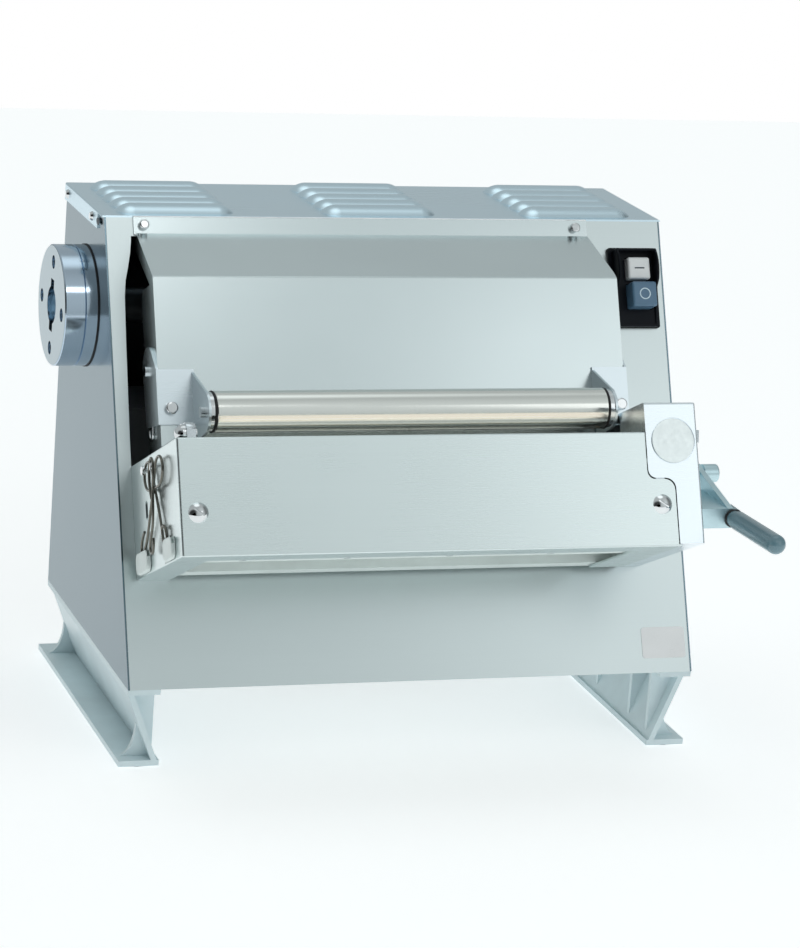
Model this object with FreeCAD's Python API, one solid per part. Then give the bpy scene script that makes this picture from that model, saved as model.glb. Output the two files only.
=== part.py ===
"""Bench-top dough sheeter: a sloped steel casing with a power take-off hub, a roller head and a gap lever.

Millimetres, +X right, -Y front, +Z up. The head parts are drawn in the front panel's own frame, whose Y is
the distance out from the panel and whose Z is the distance down it, and are then seated on the slope.
"""
import FreeCAD, Part
import math
import os

V = FreeCAD.Vector
os.makedirs("parts", exist_ok=True)

# Casing
HALF_WIDTH = 250.0
SHEET = 1.5
TOP_Z = 433.0
BASE_Z = 71.0
BACK_Y = 136.0
TILT_DEG = 24.7
FRONT_FOOT_Y = -(TOP_Z - BASE_Z) * math.tan(math.radians(TILT_DEG))
COVER_LIP = 14.5
COVER_SCREW_Y = (35.0, 126.0)
REAR_SCREW_X = (-220.0, 0.0, 220.0)
COVER_SCREW_DROP = 8.0
COVER_SCREW_R = 2.0
GLAND_X = -170.0
GLAND_Z = 112.0
LOUVRE_STRAIGHT = 74.0
LOUVRE_CREST = 1.0
LOUVRE_RISE = 6.5
LOUVRE_ARC_R = 20.0
LOUVRE_SKIN = 1.0
LOUVRE_PITCH_Y = 23.5
LOUVRE_FIRST_Y = 22.5
LOUVRE_ROWS = 5
LOUVRE_CENTRES_X = (-184.0, -3.0, 178.0)
CUTOUT_LEFT = [(-227.8, 17.5), (-228.0, 22.0), (-229.2, 32.0), (-231.6, 44.0), (-234.2, 55.0), (-235.6, 68.0),
               (-236.6, 110.0), (-237.7, 190.0), (-237.7, 290.0)]
CUTOUT_RIGHT = [(181.0, 17.5), (188.0, 30.0), (188.5, 186.0), (205.0, 190.0), (205.0, 290.0)]
CUTOUT_RETURN = 14.0
SIDE_VENT_Y = (10.0, 70.0)
SIDE_VENT_Z = 150.0
SIDE_VENT_PITCH = 14.0
SIDE_VENTS = 6
REAR_VENT_X = -40.0
REAR_VENT_Z = (150.0, 300.0)
REAR_VENT_PITCH = 16.0
REAR_VENTS = 9
BASE_VENT_X = -110.0
BASE_VENT_Y = (10.0, 90.0)
BASE_VENT_PITCH = 20.0
BASE_VENTS = 12
REACH = 300.0

# Feet
FOOT_INNER_X = 218.0
FOOT_OUTER_X = 252.5
FOOT_FRONT_Y = -157.0
FOOT_REAR_Y = 150.0
PAD_HEIGHT = 4.0
FOOT_WALL = 5.0
FOOT_WEB_Y = (-146.0, -104.0, -26.0, 56.0, 123.0)
FOOT_GUSSET_Y = (-145.0, 123.0)
FOOT_FLOOR = 1.0
FOOT_REAR_STEP = 22.0
FOOT_FLANGE_IN = 4.0
FOOT_FLANGE_FRONT = 8.0
FOOT_HEAD_SPACE = 7.0
WEB_FOOT = 0.8
WEB_GAP = 2.0
GUSSET_X = (234.0, 250.0)
GUSSET_WIDTH = 14.0
GUSSET_RISE = 28.0
GUSSET_ROOT = 2.0
FOOT_BOLT_X = 229.5
FOOT_BOLT_Y = (-132.0, 95.0)
FOOT_BOLT_R = 4.0
FOOT_BOLT_HEAD_R = 6.5
FOOT_NUT_T = 6.0
PAD_R = 12.0
PAD_INSET = 14.0

# Power take-off hub and main shaft
MAIN_Y = 51.0
MAIN_Z = 344.0
HUB_R = 52.0
HUB_FACE_X = -279.0
HUB_SEAM_X = -260.5
HUB_RING_X = -251.0
HUB_BORE_R = 16.0
HUB_SLOT_R = 22.5
HUB_SLOT_WIDTH = 11.5
HUB_SLOT_DEPTH = 8.0
HUB_SCREW_PCD = 75.0
HUB_SCREW_R = 3.0
HUB_SCREW_HEAD_R = 5.0
HUB_COUNTERBORE = 9.0
HUB_NECK_R = 30.0
SHAFT_R = 15.0
SHAFT_END_X = -259.0
BEARING_R = 24.0
BEARING_X = (-256.0, -240.0)
RUN = 0.05

# Motor and gears
MOTOR_Y = 45.0
MOTOR_R = 55.0
MOTOR_X = (-88.0, -72.0, 96.0)
MOTOR_FINS = 11
MOTOR_FIN_PITCH = 13.0
PINION_SHAFT_R = 10.0
DRIVE_PLATE_X = (130.0, 136.0)
DRIVE_PLATE_TOP = 392.0
MAIN_MODULE = 3.0
MAIN_TEETH = 50
PINION_TEETH = 26
GEAR_DISTANCE = MAIN_MODULE * (MAIN_TEETH + PINION_TEETH) / 2.0
MOTOR_Z = MAIN_Z - math.sqrt(GEAR_DISTANCE ** 2 - (MAIN_Y - MOTOR_Y) ** 2)
PRESSURE_DEG = 20.0

# Roller head: n is out from the front panel, s is down it
PLATE_T = 8.0
LEFT_PLATE_X = -227.0
RIGHT_PLATE_X = 168.0
ROLLER_R = 30.0
ROLLER_X = (-211.0, 160.0)
ROLLER_S = 245.0
DRIVE_N = 32.0
REST_GAP = 1.0
PRESS_N = DRIVE_N + 2.0 * ROLLER_R + REST_GAP
EAR = (133.0, 207.0)
EAR_R = 9.0
TIE_FRONT = (138.0, 227.0)
TIE_REAR = (-22.0, 236.0)
TIE_R = 6.0
TIE_END_R = 4.0
TIE_HEAD_R = 7.0
GAP_TRAVEL = 4.5
JOURNAL_R = 10.0
BUSH_R = 16.0
HEAD_MODULE = 5.0
HEAD_TEETH = 12
HEAD_GEAR_X = (188.0, 202.0)
PULLEY_X = (177.0, 185.0)
PULLEY_R = 25.0
BELT_GAP = 0.3
BELT_T = 4.0
GUARD_N = 149.0
GUARD_X = (-238.0, 186.0)
GUARD_S = (212.5, 308.0)
GUARD_FLANGE = 27.5
GUARD_SCREW_X = (-223.0, 172.0)
GUARD_SCREW_S = 273.0
SCRAPER_TOP_S = 288.0
SCRAPER_LOW_S = 306.0
SCRAPER_X = (-242.0, 181.0)
SCRAPER_END_X = -238.4
REAR_SCRAPER_N = (14.0, 36.0)
FRONT_SCRAPER_N = (96.0, 112.0)
REAR_END_N = (14.5, 51.0)
FRONT_END_N = (103.0, 130.0)
SPRING_X = -240.1
SPRING_WIRE_R = 0.9
HOOK_N = (84.0, 58.0)
HOOK_S = 225.2
EYE_TOP_S = 226.5
EYE_LOW_S = 288.6
EYE_LOW_N = (109.0, 24.0)
EYE_R = 4.4

# Gap lever
LEVER_TURN_DEG = 60.0
GAP_SHAFT_N = 128.4
GAP_SHAFT_S = 280.5
GAP_SHAFT_R = 6.0
BLOCK_FACE_N = 113.0
CAM_CLEAR = 0.05
CAM_RISE_DEG = (100.0, 200.0)
CAM_RISE_STEPS = 40
CAM_RETURN_STEPS = 60
CAM_RATE = GAP_TRAVEL / math.radians(LEVER_TURN_DEG)
CAM_X = ((-218.6, -212.6), (161.6, 167.6))
LEVER_X = (208.8, 234.0)
ARM_X = (234.0, 239.0)
LEVER_HALF = 8.5
GRIP_X = 240.0
GRIP_R = 8.2
GRIP_TIP_Y = -337.0
KNOB_END_X = 255.0
KNOB_R = 7.8
KNOB_GAP = 2.5
PLUNGER_R = 3.0
PLUNGER_OFFSET = (68.0, 17.0)
SECTOR_X = (208.3, 210.8)
SECTOR_RIM = 1.4
SECTOR_BAND = 9.0
SECTOR_MARGIN_DEG = 5.0

# Hood and idle roller
HOOD_X = (-223.5, 187.0)
HOOD_N = 48.0
HOOD_FOLD_S = 62.0
HOOD_END_S = 205.0
IDLE_N = 81.0
IDLE_S = 181.0
IDLE_R = 17.4
IDLE_X = (-188.0, 151.5)
IDLE_AXLE_R = 5.0
BRACKET_X = (-195.5, 159.5)
BRACKET_T = 2.0
BRACKET_BOLT_X = (-214.2, 181.0)
BRACKET_BOLT_S = 172.6
WING_BOLT = (22.0, 137.0)
WING_BOLT_R = 2.0
NUT_R = 4.4
HOOD_PIN_X = (-216.9, 169.4)
HOOD_PIN_S = 8.5

# Gear cover
COVER_X = (161.5, 207.5)
COVER_WAIST_X = 187.2
COVER_S = (188.0, 306.0)
COVER_N = 149.0
COVER_STEP_S = 251.0
COVER_FIT = 1.0
DISC_R = 19.4
DISC_X = 185.2
DISC_S = 220.2

# Switch
SWITCH_X = (198.5, 243.0)
SWITCH_S = (26.0, 97.0)
FLANGE_N = 3.0
SHROUD_X = (202.0, 240.0)
SHROUD_S = (28.5, 96.5)
SHROUD_SIDE = [
    (14.0, 28.5), (17.0, 34.0), (18.6, 39.5), (19.0, 45.0), (18.6, 50.0),
    (17.0, 56.0), (14.0, 59.5), (11.5, 62.0), (9.8, 66.0), (9.0, 70.0),
    (7.0, 96.5),
]
SHROUD_WALL = 2.0
BAY_FLOOR_N = 6.0
ON_BAY = (212.6, 233.1, 36.2, 55.7)
OFF_BAY = (212.4, 235.0, 59.1, 81.1)
ON_PROUD = 14.0
OFF_PROUD = 21.0
KEY_FIT = 0.3

# The row frame: the box is centred in X and Y over the pads' underside
SHIFT = V(-(HUB_FACE_X + KNOB_END_X) / 2.0, -(GRIP_TIP_Y + FOOT_REAR_Y) / 2.0, 0.0)


def box(x, y, z):
    return Part.makeBox(x[1] - x[0], y[1] - y[0], z[1] - z[0], V(x[0], y[0], z[0]))


def rod_x(radius, x, y, z):
    return Part.makeCylinder(radius, x[1] - x[0], V(x[0], y, z), V(1, 0, 0))


def rod_y(radius, x, y, z):
    return Part.makeCylinder(radius, y[1] - y[0], V(x, y[0], z), V(0, 1, 0))


def rod_z(radius, x, y, z):
    return Part.makeCylinder(radius, z[1] - z[0], V(x, y, z[0]), V(0, 0, 1))


def prism_x(points, x):
    corners = [V(x[0], a, b) for a, b in points]
    face = Part.Face(Part.makePolygon(corners + corners[:1]))
    return face.extrude(V(x[1] - x[0], 0, 0))


def prism_y(points, y):
    corners = [V(a, y[0], b) for a, b in points]
    face = Part.Face(Part.makePolygon(corners + corners[:1]))
    return face.extrude(V(0, y[1] - y[0], 0))


def prism_z(points, z):
    corners = [V(a, b, z[0]) for a, b in points]
    face = Part.Face(Part.makePolygon(corners + corners[:1]))
    return face.extrude(V(0, 0, z[1] - z[0]))


def join(shapes):
    return shapes[0].multiFuse(list(shapes[1:])).removeSplitter()


def rounded(shape, radius, pick):
    """Rounds the edges whose bounding box passes the test."""
    return shape.makeFillet(radius, [e for e in shape.Edges if pick(e.BoundBox)])


def arc(centre, radius, start_deg, end_deg, steps):
    points = []
    for i in range(steps + 1):
        a = math.radians(start_deg + (end_deg - start_deg) * i / steps)
        points.append((centre[0] + radius * math.cos(a), centre[1] + radius * math.sin(a)))
    return points


def seat(shape):
    """Turns a head part from the front panel's frame into the machine's frame."""
    shape = shape.copy()
    shape.rotate(V(0, 0, 0), V(1, 0, 0), 180.0 - TILT_DEG)
    shape.translate(V(0, 0, TOP_Z))
    return shape


def head_point(n, s):
    """The machine's Y and Z of a point given by n and s."""
    t = math.radians(TILT_DEG)
    return -s * math.sin(t) - n * math.cos(t), TOP_Z - s * math.cos(t) + n * math.sin(t)


def save(node, shapes):
    solids = []
    for shape in shapes:
        for solid in shape.Solids:
            moved = solid.copy()
            moved.translate(SHIFT)
            solids.append(moved)
    result = solids[0] if len(solids) == 1 else Part.makeCompound(solids)
    result.exportStep("parts/" + node + ".step")


# Casing

def casing_profile():
    return [(0, TOP_Z), (BACK_Y, TOP_Z), (BACK_Y, BASE_Z), (FRONT_FOOT_Y, BASE_Z)]


def side_panel(x):
    panel = prism_x(casing_profile(), x)
    return panel.common(box((-REACH, REACH), (-REACH, REACH), (BASE_Z, TOP_Z - SHEET)))


def left_side_panel():
    return side_panel((-HALF_WIDTH, -HALF_WIDTH + SHEET)).cut(
        rod_x(HUB_NECK_R, (-HALF_WIDTH - 1, -HALF_WIDTH + 5), MAIN_Y, MAIN_Z))


def right_side_panel():
    panel = side_panel((HALF_WIDTH - SHEET, HALF_WIDTH))
    for i in range(SIDE_VENTS):
        z = SIDE_VENT_Z + SIDE_VENT_PITCH * i
        panel = panel.cut(box((HALF_WIDTH - 5, HALF_WIDTH + 1), SIDE_VENT_Y, (z, z + 4.5)))
    return panel


def cutout(n):
    return plate_xs(CUTOUT_LEFT + CUTOUT_RIGHT[::-1], n)


def cutout_return():
    """Flange turned inward along the opening's left edge."""
    shifted = [(x - SHEET, s) for x, s in CUTOUT_LEFT]
    return plate_xs(CUTOUT_LEFT + shifted[::-1], (-CUTOUT_RETURN, -SHEET / 2.0))


def front_panel():
    inner = HALF_WIDTH - SHEET
    panel = box((-inner, inner), (-SHEET, 0), (-5, 405))
    panel = panel.cut(cutout((-5, 5))).fuse(cutout_return())
    panel = panel.cut(box((SWITCH_X[0] + 4, SWITCH_X[1] - 4), (-5, 5), (SWITCH_S[0] + 4, SWITCH_S[1] - 4)))
    for x in HOOD_PIN_X:
        panel = panel.cut(rod_y(2.5, x, (-5, 5), HOOD_PIN_S))
    keep = box((-REACH, REACH), (-REACH, REACH), (BASE_Z + SHEET, TOP_Z - SHEET))
    return seat(panel).common(keep)


def rear_panel():
    inner = HALF_WIDTH - SHEET
    panel = box((-inner, inner), (BACK_Y - SHEET, BACK_Y), (BASE_Z + SHEET, TOP_Z - SHEET))
    for i in range(REAR_VENTS):
        for z in REAR_VENT_Z:
            x = REAR_VENT_X + REAR_VENT_PITCH * i
            panel = panel.cut(box((x, x + 5), (BACK_Y - 5, BACK_Y + 1), (z, z + 60)))
    return panel.cut(rod_y(8.0, GLAND_X, (BACK_Y - 5, BACK_Y + 1), GLAND_Z))


def bottom_plate():
    inner = HALF_WIDTH - SHEET
    plate = prism_x(casing_profile(), (-inner, inner))
    plate = plate.common(box((-REACH, REACH), (-REACH, REACH), (BASE_Z, BASE_Z + SHEET)))
    for y in FOOT_BOLT_Y:
        for side in (-1, 1):
            plate = plate.cut(rod_z(FOOT_BOLT_R, side * FOOT_BOLT_X, y, (BASE_Z - 1, BASE_Z + 5)))
    for i in range(BASE_VENTS):
        x = BASE_VENT_X + BASE_VENT_PITCH * i
        plate = plate.cut(box((x, x + 6), BASE_VENT_Y, (BASE_Z - 1, BASE_Z + 5)))
    return plate


def louvre(x_centre, y_mouth, inset):
    """One rounded ridge standing on the cover, cut off square at its rear mouth."""
    radius = LOUVRE_ARC_R - inset
    y = y_mouth - LOUVRE_CREST
    z = TOP_Z + LOUVRE_RISE - LOUVRE_ARC_R
    x = (x_centre - LOUVRE_STRAIGHT / 2.0, x_centre + LOUVRE_STRAIGHT / 2.0)
    ridge = join([rod_x(radius, x, y, z), Part.makeSphere(radius, V(x[0], y, z)),
                  Part.makeSphere(radius, V(x[1], y, z))])
    reach = (y_mouth - LOUVRE_ARC_R, y_mouth + inset / 2.0)
    span = (x[0] - LOUVRE_ARC_R, x[1] + LOUVRE_ARC_R)
    return ridge.common(box(span, reach, (TOP_Z - 2 * SHEET, TOP_Z + 10)))


def louvres(inset):
    ridges = []
    for x in LOUVRE_CENTRES_X:
        for i in range(LOUVRE_ROWS):
            ridges.append(louvre(x, LOUVRE_FIRST_Y + LOUVRE_PITCH_Y * i, inset))
    return ridges


def top_cover():
    edge = HALF_WIDTH + SHEET
    skin = box((-edge, edge), (-2, BACK_Y + SHEET), (TOP_Z - SHEET, TOP_Z))
    t = math.radians(TILT_DEG)
    wedge = [(0, TOP_Z), (BACK_Y + 10, TOP_Z), (BACK_Y + 10, TOP_Z - 30), (-30 * math.tan(t), TOP_Z - 30)]
    skin = skin.common(prism_x(wedge, (-edge, edge)))
    lips = []
    for x in ((-edge, -HALF_WIDTH), (HALF_WIDTH, edge)):
        lips.append(box(x, (16, BACK_Y + SHEET), (TOP_Z - COVER_LIP, TOP_Z - SHEET)))
    lips.append(box((-HALF_WIDTH, HALF_WIDTH), (BACK_Y, BACK_Y + SHEET), (TOP_Z - COVER_LIP, TOP_Z - SHEET)))
    cover = join([skin] + lips)
    def side_fold(b):
        return b.ZMin > TOP_Z - 0.01 and b.XLength < 0.01 and abs(b.XMin) > HALF_WIDTH

    cover = rounded(cover, 1.4, side_fold)
    above = box((-REACH, REACH), (-REACH, REACH), (TOP_Z - SHEET / 2.0, TOP_Z + 10))
    cover = cover.multiFuse([ridge.common(above) for ridge in louvres(0.0)])
    cover = cover.cut(Part.makeCompound(louvres(LOUVRE_SKIN)))
    screw_z = TOP_Z - COVER_SCREW_DROP
    for side in (-1, 1):
        for y in COVER_SCREW_Y:
            cover = cover.cut(rod_x(COVER_SCREW_R, (side * edge - 3, side * edge + 3), y, screw_z))
    for x in REAR_SCREW_X:
        cover = cover.cut(rod_y(COVER_SCREW_R, x, (BACK_Y - 3, BACK_Y + 4), screw_z))
    return cover


def cover_screw(face, outward):
    """One low-headed screw, its shank through the sheet behind the face point."""
    head = Part.makeCone(4.2, 2.8, 2.2, face, outward)
    shank = Part.makeCylinder(COVER_SCREW_R, SHEET, face - outward * SHEET, outward)
    return head.fuse(shank)


def cover_screws():
    screws = []
    z = TOP_Z - COVER_SCREW_DROP
    for side in (-1, 1):
        for y in COVER_SCREW_Y:
            screws.append(cover_screw(V(side * (HALF_WIDTH + SHEET), y, z), V(side, 0, 0)))
    for x in REAR_SCREW_X:
        screws.append(cover_screw(V(x, BACK_Y + SHEET, z), V(0, 1, 0)))
    return screws


# Feet

def foot(side):
    """A cast foot: top flange, leaning wall, outward base flange, webs inside and gussets outside."""
    low = FOOT_INNER_X
    floor = FOOT_FLOOR
    flange_x = low + FOOT_FLANGE_IN
    flange_z = BASE_Z - FOOT_WALL
    wall = [(low, floor), (low + FOOT_WALL, floor), (HALF_WIDTH, BASE_Z), (HALF_WIDTH - FOOT_WALL, BASE_Z)]
    web_top = HALF_WIDTH - WEB_GAP
    web = [(flange_x, floor), (flange_x + WEB_FOOT, floor), (web_top, BASE_Z), (flange_x, BASE_Z)]
    parts = [prism_y(wall, (FOOT_FRONT_Y, FOOT_REAR_Y - FOOT_REAR_STEP))]
    parts.append(box((low, FOOT_OUTER_X), (FOOT_FRONT_Y, FOOT_REAR_Y), (floor, floor + FOOT_WALL)))
    parts.append(box((flange_x, HALF_WIDTH), (FOOT_FRONT_Y - FOOT_FLANGE_FRONT, BACK_Y), (flange_z, BASE_Z)))
    for y in FOOT_WEB_Y:
        parts.append(prism_y(web, (y, y + FOOT_WALL)))
    for y in FOOT_GUSSET_Y:
        parts.append(prism_y(gusset_profile(low), (y, y + FOOT_WALL)))
    casting = join(parts)
    for y in FOOT_BOLT_Y:
        casting = casting.cut(rod_z(FOOT_BOLT_R, FOOT_BOLT_X, y, (flange_z - 1, BASE_Z + 1)))
        clearance = (flange_z - FOOT_HEAD_SPACE, flange_z)
        casting = casting.cut(rod_z(FOOT_BOLT_HEAD_R + 0.5, FOOT_BOLT_X, y, clearance))
    for y in pad_rows():
        casting = casting.cut(rod_z(PAD_R + RUN, pad_x(), y, (floor - 1, PAD_HEIGHT)))
    if side < 0:
        casting = casting.mirror(V(0, 0, 0), V(1, 0, 0))
    return casting


def gusset_profile(low):
    """Gusset with a hollow edge that sweeps from the base flange up the leaning wall."""
    floor = FOOT_FLOOR + FOOT_WALL
    root = FOOT_FLOOR + GUSSET_ROOT
    points = []
    for across, up in arc((0, 0), 1.0, 265, 180, 8):
        points.append((GUSSET_X[1] + GUSSET_WIDTH * across, floor + GUSSET_RISE * (1 + up)))
    points.append((GUSSET_X[0], floor + GUSSET_RISE))
    points.append((low + GUSSET_ROOT, root))
    points.append((GUSSET_X[1] - GUSSET_ROOT, root))
    return points


def pad_x():
    return (FOOT_INNER_X + FOOT_OUTER_X) / 2.0


def pad_rows():
    return (FOOT_FRONT_Y + PAD_INSET, FOOT_REAR_Y - PAD_INSET)


def foot_pads():
    """Rubber pads let into the undersides of the feet, standing a little proud."""
    pads = []
    for side in (-1, 1):
        for y in pad_rows():
            pads.append(rod_z(PAD_R, side * pad_x(), y, (0, PAD_HEIGHT)))
    return pads


def foot_bolts():
    bolts = []
    for side in (-1, 1):
        for y in FOOT_BOLT_Y:
            x = side * FOOT_BOLT_X
            shank = rod_z(FOOT_BOLT_R, x, y, (BASE_Z - FOOT_WALL, BASE_Z + SHEET))
            head = rod_z(FOOT_BOLT_HEAD_R, x, y, (BASE_Z - FOOT_WALL - 5, BASE_Z - FOOT_WALL))
            nut = rod_z(FOOT_BOLT_HEAD_R, x, y, (BASE_Z + SHEET, BASE_Z + SHEET + FOOT_NUT_T))
            bolts.append(join([shank, head, nut]))
    return bolts


# Hub, main shaft and drive

def hub_screw_centres():
    return [(MAIN_Y + a, MAIN_Z + b) for a, b in arc((0, 0), HUB_SCREW_PCD / 2.0, 90, 360, 3)]


def hub_disc():
    disc = rod_x(HUB_R, (HUB_FACE_X, HUB_SEAM_X), MAIN_Y, MAIN_Z)
    disc = disc.makeChamfer(1.2, [e for e in disc.Edges if abs(e.BoundBox.XMax - e.BoundBox.XMin) < 0.01])
    disc = disc.cut(rod_x(HUB_BORE_R, (HUB_FACE_X - 1, HUB_SEAM_X + 1), MAIN_Y, MAIN_Z))
    half = HUB_SLOT_WIDTH / 2.0
    slot = box((HUB_FACE_X - 1, HUB_FACE_X + HUB_SLOT_DEPTH), (MAIN_Y - half, MAIN_Y + half),
               (MAIN_Z - HUB_SLOT_R, MAIN_Z + HUB_SLOT_R))
    disc = disc.cut(slot)
    for y, z in hub_screw_centres():
        disc = disc.cut(rod_x(HUB_SCREW_R, (HUB_FACE_X - 1, HUB_SEAM_X + 1), y, z))
        disc = disc.cut(rod_x(HUB_SCREW_HEAD_R + 0.8, (HUB_FACE_X - 1, HUB_FACE_X + HUB_COUNTERBORE), y, z))
    return disc


def hub_ring():
    ring = rod_x(HUB_R, (HUB_SEAM_X, HUB_RING_X), MAIN_Y, MAIN_Z)
    ring = ring.fuse(rod_x(HUB_NECK_R, (HUB_RING_X, BEARING_X[1] + 4), MAIN_Y, MAIN_Z))
    ring = ring.cut(rod_x(BEARING_R, (HUB_SEAM_X - 1, BEARING_X[1] + 5), MAIN_Y, MAIN_Z))
    for y, z in hub_screw_centres():
        ring = ring.cut(rod_x(HUB_SCREW_R, (HUB_SEAM_X - 1, HUB_RING_X + 1), y, z))
    return ring


def hub_gasket():
    gasket = rod_x(HUB_R + 0.6, (HUB_RING_X, -HALF_WIDTH), MAIN_Y, MAIN_Z)
    gasket = gasket.cut(rod_x(HUB_NECK_R, (HUB_RING_X - 1, -HALF_WIDTH + 1), MAIN_Y, MAIN_Z))
    for y, z in hub_screw_centres():
        gasket = gasket.cut(rod_x(HUB_SCREW_R, (HUB_RING_X - 1, -HALF_WIDTH + 1), y, z))
    return gasket


def hub_screws():
    screws = []
    for y, z in hub_screw_centres():
        seat_x = HUB_FACE_X + HUB_COUNTERBORE
        head = rod_x(HUB_SCREW_HEAD_R, (seat_x - 5.5, seat_x), y, z)
        head = head.cut(rod_x(2.4, (seat_x - 6, seat_x - 2.5), y, z))
        shank = rod_x(HUB_SCREW_R, (seat_x, -HALF_WIDTH), y, z)
        screws.append(head.fuse(shank))
    return screws


def main_shaft():
    shaft = rod_x(SHAFT_R, (SHAFT_END_X, PULLEY_X[1] + 5), MAIN_Y, MAIN_Z)
    dog = box((SHAFT_END_X - 1, SHAFT_END_X + 6), (MAIN_Y - 4, MAIN_Y + 4), (MAIN_Z - 20, MAIN_Z + 20))
    cross = box((SHAFT_END_X - 1, SHAFT_END_X + 6), (MAIN_Y - 20, MAIN_Y + 20), (MAIN_Z - 4, MAIN_Z + 4))
    return shaft.cut(dog).cut(cross)


def bearing_ring(x, y, z, outer, inner):
    return rod_x(outer, x, y, z).cut(rod_x(inner, (x[0] - 1, x[1] + 1), y, z))


def main_bearings():
    return [bearing_ring(BEARING_X, MAIN_Y, MAIN_Z, BEARING_R, SHAFT_R + RUN),
            bearing_ring(DRIVE_PLATE_X, MAIN_Y, MAIN_Z, BEARING_R, SHAFT_R + RUN)]


def involute_gear(module, teeth, x, centre, phase_deg, thinning):
    """Spur gear with involute flanks; one tooth points along phase_deg in the plane across X."""
    pitch_r = module * teeth / 2.0
    base_r = pitch_r * math.cos(math.radians(PRESSURE_DEG))
    tip_r = pitch_r + module
    root_r = pitch_r - 1.25 * module
    pressure = math.radians(PRESSURE_DEG)
    half = math.pi / (2 * teeth) - thinning / (2 * pitch_r) + math.tan(pressure) - pressure
    start_r = max(base_r, root_r)
    flank = []
    for i in range(6):
        r = start_r + (tip_r - start_r) * i / 5.0
        a = math.acos(min(1.0, base_r / r))
        flank.append((r, half - (math.tan(a) - a)))
    edges = []
    previous = None
    first = None
    for k in range(teeth):
        middle = math.radians(phase_deg) + 2 * math.pi * k / teeth
        rising = [polar(centre, x[0], r, middle - w) for r, w in flank]
        falling = [polar(centre, x[0], r, middle + w) for r, w in reversed(flank)]
        root_in = polar(centre, x[0], root_r, middle - flank[0][1])
        root_out = polar(centre, x[0], root_r, middle + flank[0][1])
        if previous is None:
            first = root_in
        else:
            edges.append(Part.LineSegment(previous, root_in).toShape())
        edges += side_edges(root_in, rising)
        tip = polar(centre, x[0], tip_r, middle)
        edges.append(Part.Arc(rising[-1], tip, falling[0]).toShape())
        edges += side_edges(root_out, falling[::-1])[::-1]
        previous = root_out
    edges.append(Part.LineSegment(previous, first).toShape())
    face = Part.Face(Part.Wire(Part.__sortEdges__(edges)))
    return face.extrude(V(x[1] - x[0], 0, 0))


def side_edges(root, flank):
    curve = Part.BSplineCurve()
    curve.interpolate(flank)
    edges = [curve.toShape()]
    if root.distanceToPoint(flank[0]) > 0.01:
        edges.insert(0, Part.LineSegment(root, flank[0]).toShape())
    return edges


def polar(centre, x, radius, angle):
    return V(x, centre[0] + radius * math.cos(angle), centre[1] + radius * math.sin(angle))


def mesh_phase():
    """Direction from the main gear's axis to the pinion's axis."""
    return math.degrees(math.atan2(MOTOR_Z - MAIN_Z, MOTOR_Y - MAIN_Y))


def main_gear():
    gear = involute_gear(MAIN_MODULE, MAIN_TEETH, (142, 156), (MAIN_Y, MAIN_Z), mesh_phase(), 0.3)
    gear = gear.fuse(rod_x(26.0, (138.0, 162.0), MAIN_Y, MAIN_Z))
    for a, b in arc((MAIN_Y, MAIN_Z), 48.0, 0, 300, 5):
        gear = gear.cut(rod_x(13.0, (140, 165), a, b))
    return gear.cut(rod_x(SHAFT_R, (130, 170), MAIN_Y, MAIN_Z))


def motor_pinion():
    phase = mesh_phase() + 180.0 + 180.0 / PINION_TEETH
    gear = involute_gear(MAIN_MODULE, PINION_TEETH, (141, 157), (MOTOR_Y, MOTOR_Z), phase, 0.3)
    return gear.fuse(rod_x(PINION_SHAFT_R, (120.0, 164.0), MOTOR_Y, MOTOR_Z))


def motor():
    rear, front, gearbox_x = MOTOR_X
    body = rod_x(MOTOR_R, (front, gearbox_x), MOTOR_Y, MOTOR_Z)
    for i in range(MOTOR_FINS):
        x = front + 14.0 + MOTOR_FIN_PITCH * i
        body = body.cut(bearing_ring((x, x + 5), MOTOR_Y, MOTOR_Z, MOTOR_R + 1, MOTOR_R - 4))
    cowl = rod_x(MOTOR_R - 3, (rear, front), MOTOR_Y, MOTOR_Z)
    gearbox = box((gearbox_x, DRIVE_PLATE_X[0]), (MOTOR_Y - 52, MOTOR_Y + 52), (MOTOR_Z - 52, MOTOR_Z + 52))
    wiring_z = (MOTOR_Z - MOTOR_R - 22, MOTOR_Z - MOTOR_R + 10)
    wiring = box((-40.0, 40.0), (MOTOR_Y - 32, MOTOR_Y + 32), wiring_z)
    unit = join([body, cowl, gearbox, wiring])
    return unit.cut(rod_x(PINION_SHAFT_R + RUN, (119.0, 131.0), MOTOR_Y, MOTOR_Z))


def drive_plate():
    """Upright plate that carries the motor and the main shaft, with a foot flange and a sloped front edge."""
    y0 = -32.0
    y1 = BACK_Y - SHEET
    floor = BASE_Z + SHEET
    top_y = max(y0, -(TOP_Z - DRIVE_PLATE_TOP) * math.tan(math.radians(TILT_DEG)) + 6.0)
    shoulder_z = TOP_Z + (y0 - 6.0) / math.tan(math.radians(TILT_DEG))
    outline = [(y0, floor), (y1, floor), (y1, DRIVE_PLATE_TOP), (top_y, DRIVE_PLATE_TOP), (y0, shoulder_z)]
    plate = prism_x(outline, DRIVE_PLATE_X)
    plate = plate.fuse(box((DRIVE_PLATE_X[1], RIGHT_PLATE_X - 2), (y0, y1), (floor, floor + 5)))
    bore_x = (DRIVE_PLATE_X[0] - 9, DRIVE_PLATE_X[1] + 4)
    plate = plate.cut(rod_x(BEARING_R, bore_x, MAIN_Y, MAIN_Z))
    return plate.cut(rod_x(PINION_SHAFT_R + 1.5, bore_x, MOTOR_Y, MOTOR_Z))


def pulley(centre):
    return rod_x(PULLEY_R, PULLEY_X, centre[0], centre[1])


def main_pulley():
    return pulley((MAIN_Y, MAIN_Z)).cut(rod_x(SHAFT_R, (170, 192), MAIN_Y, MAIN_Z))


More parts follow.
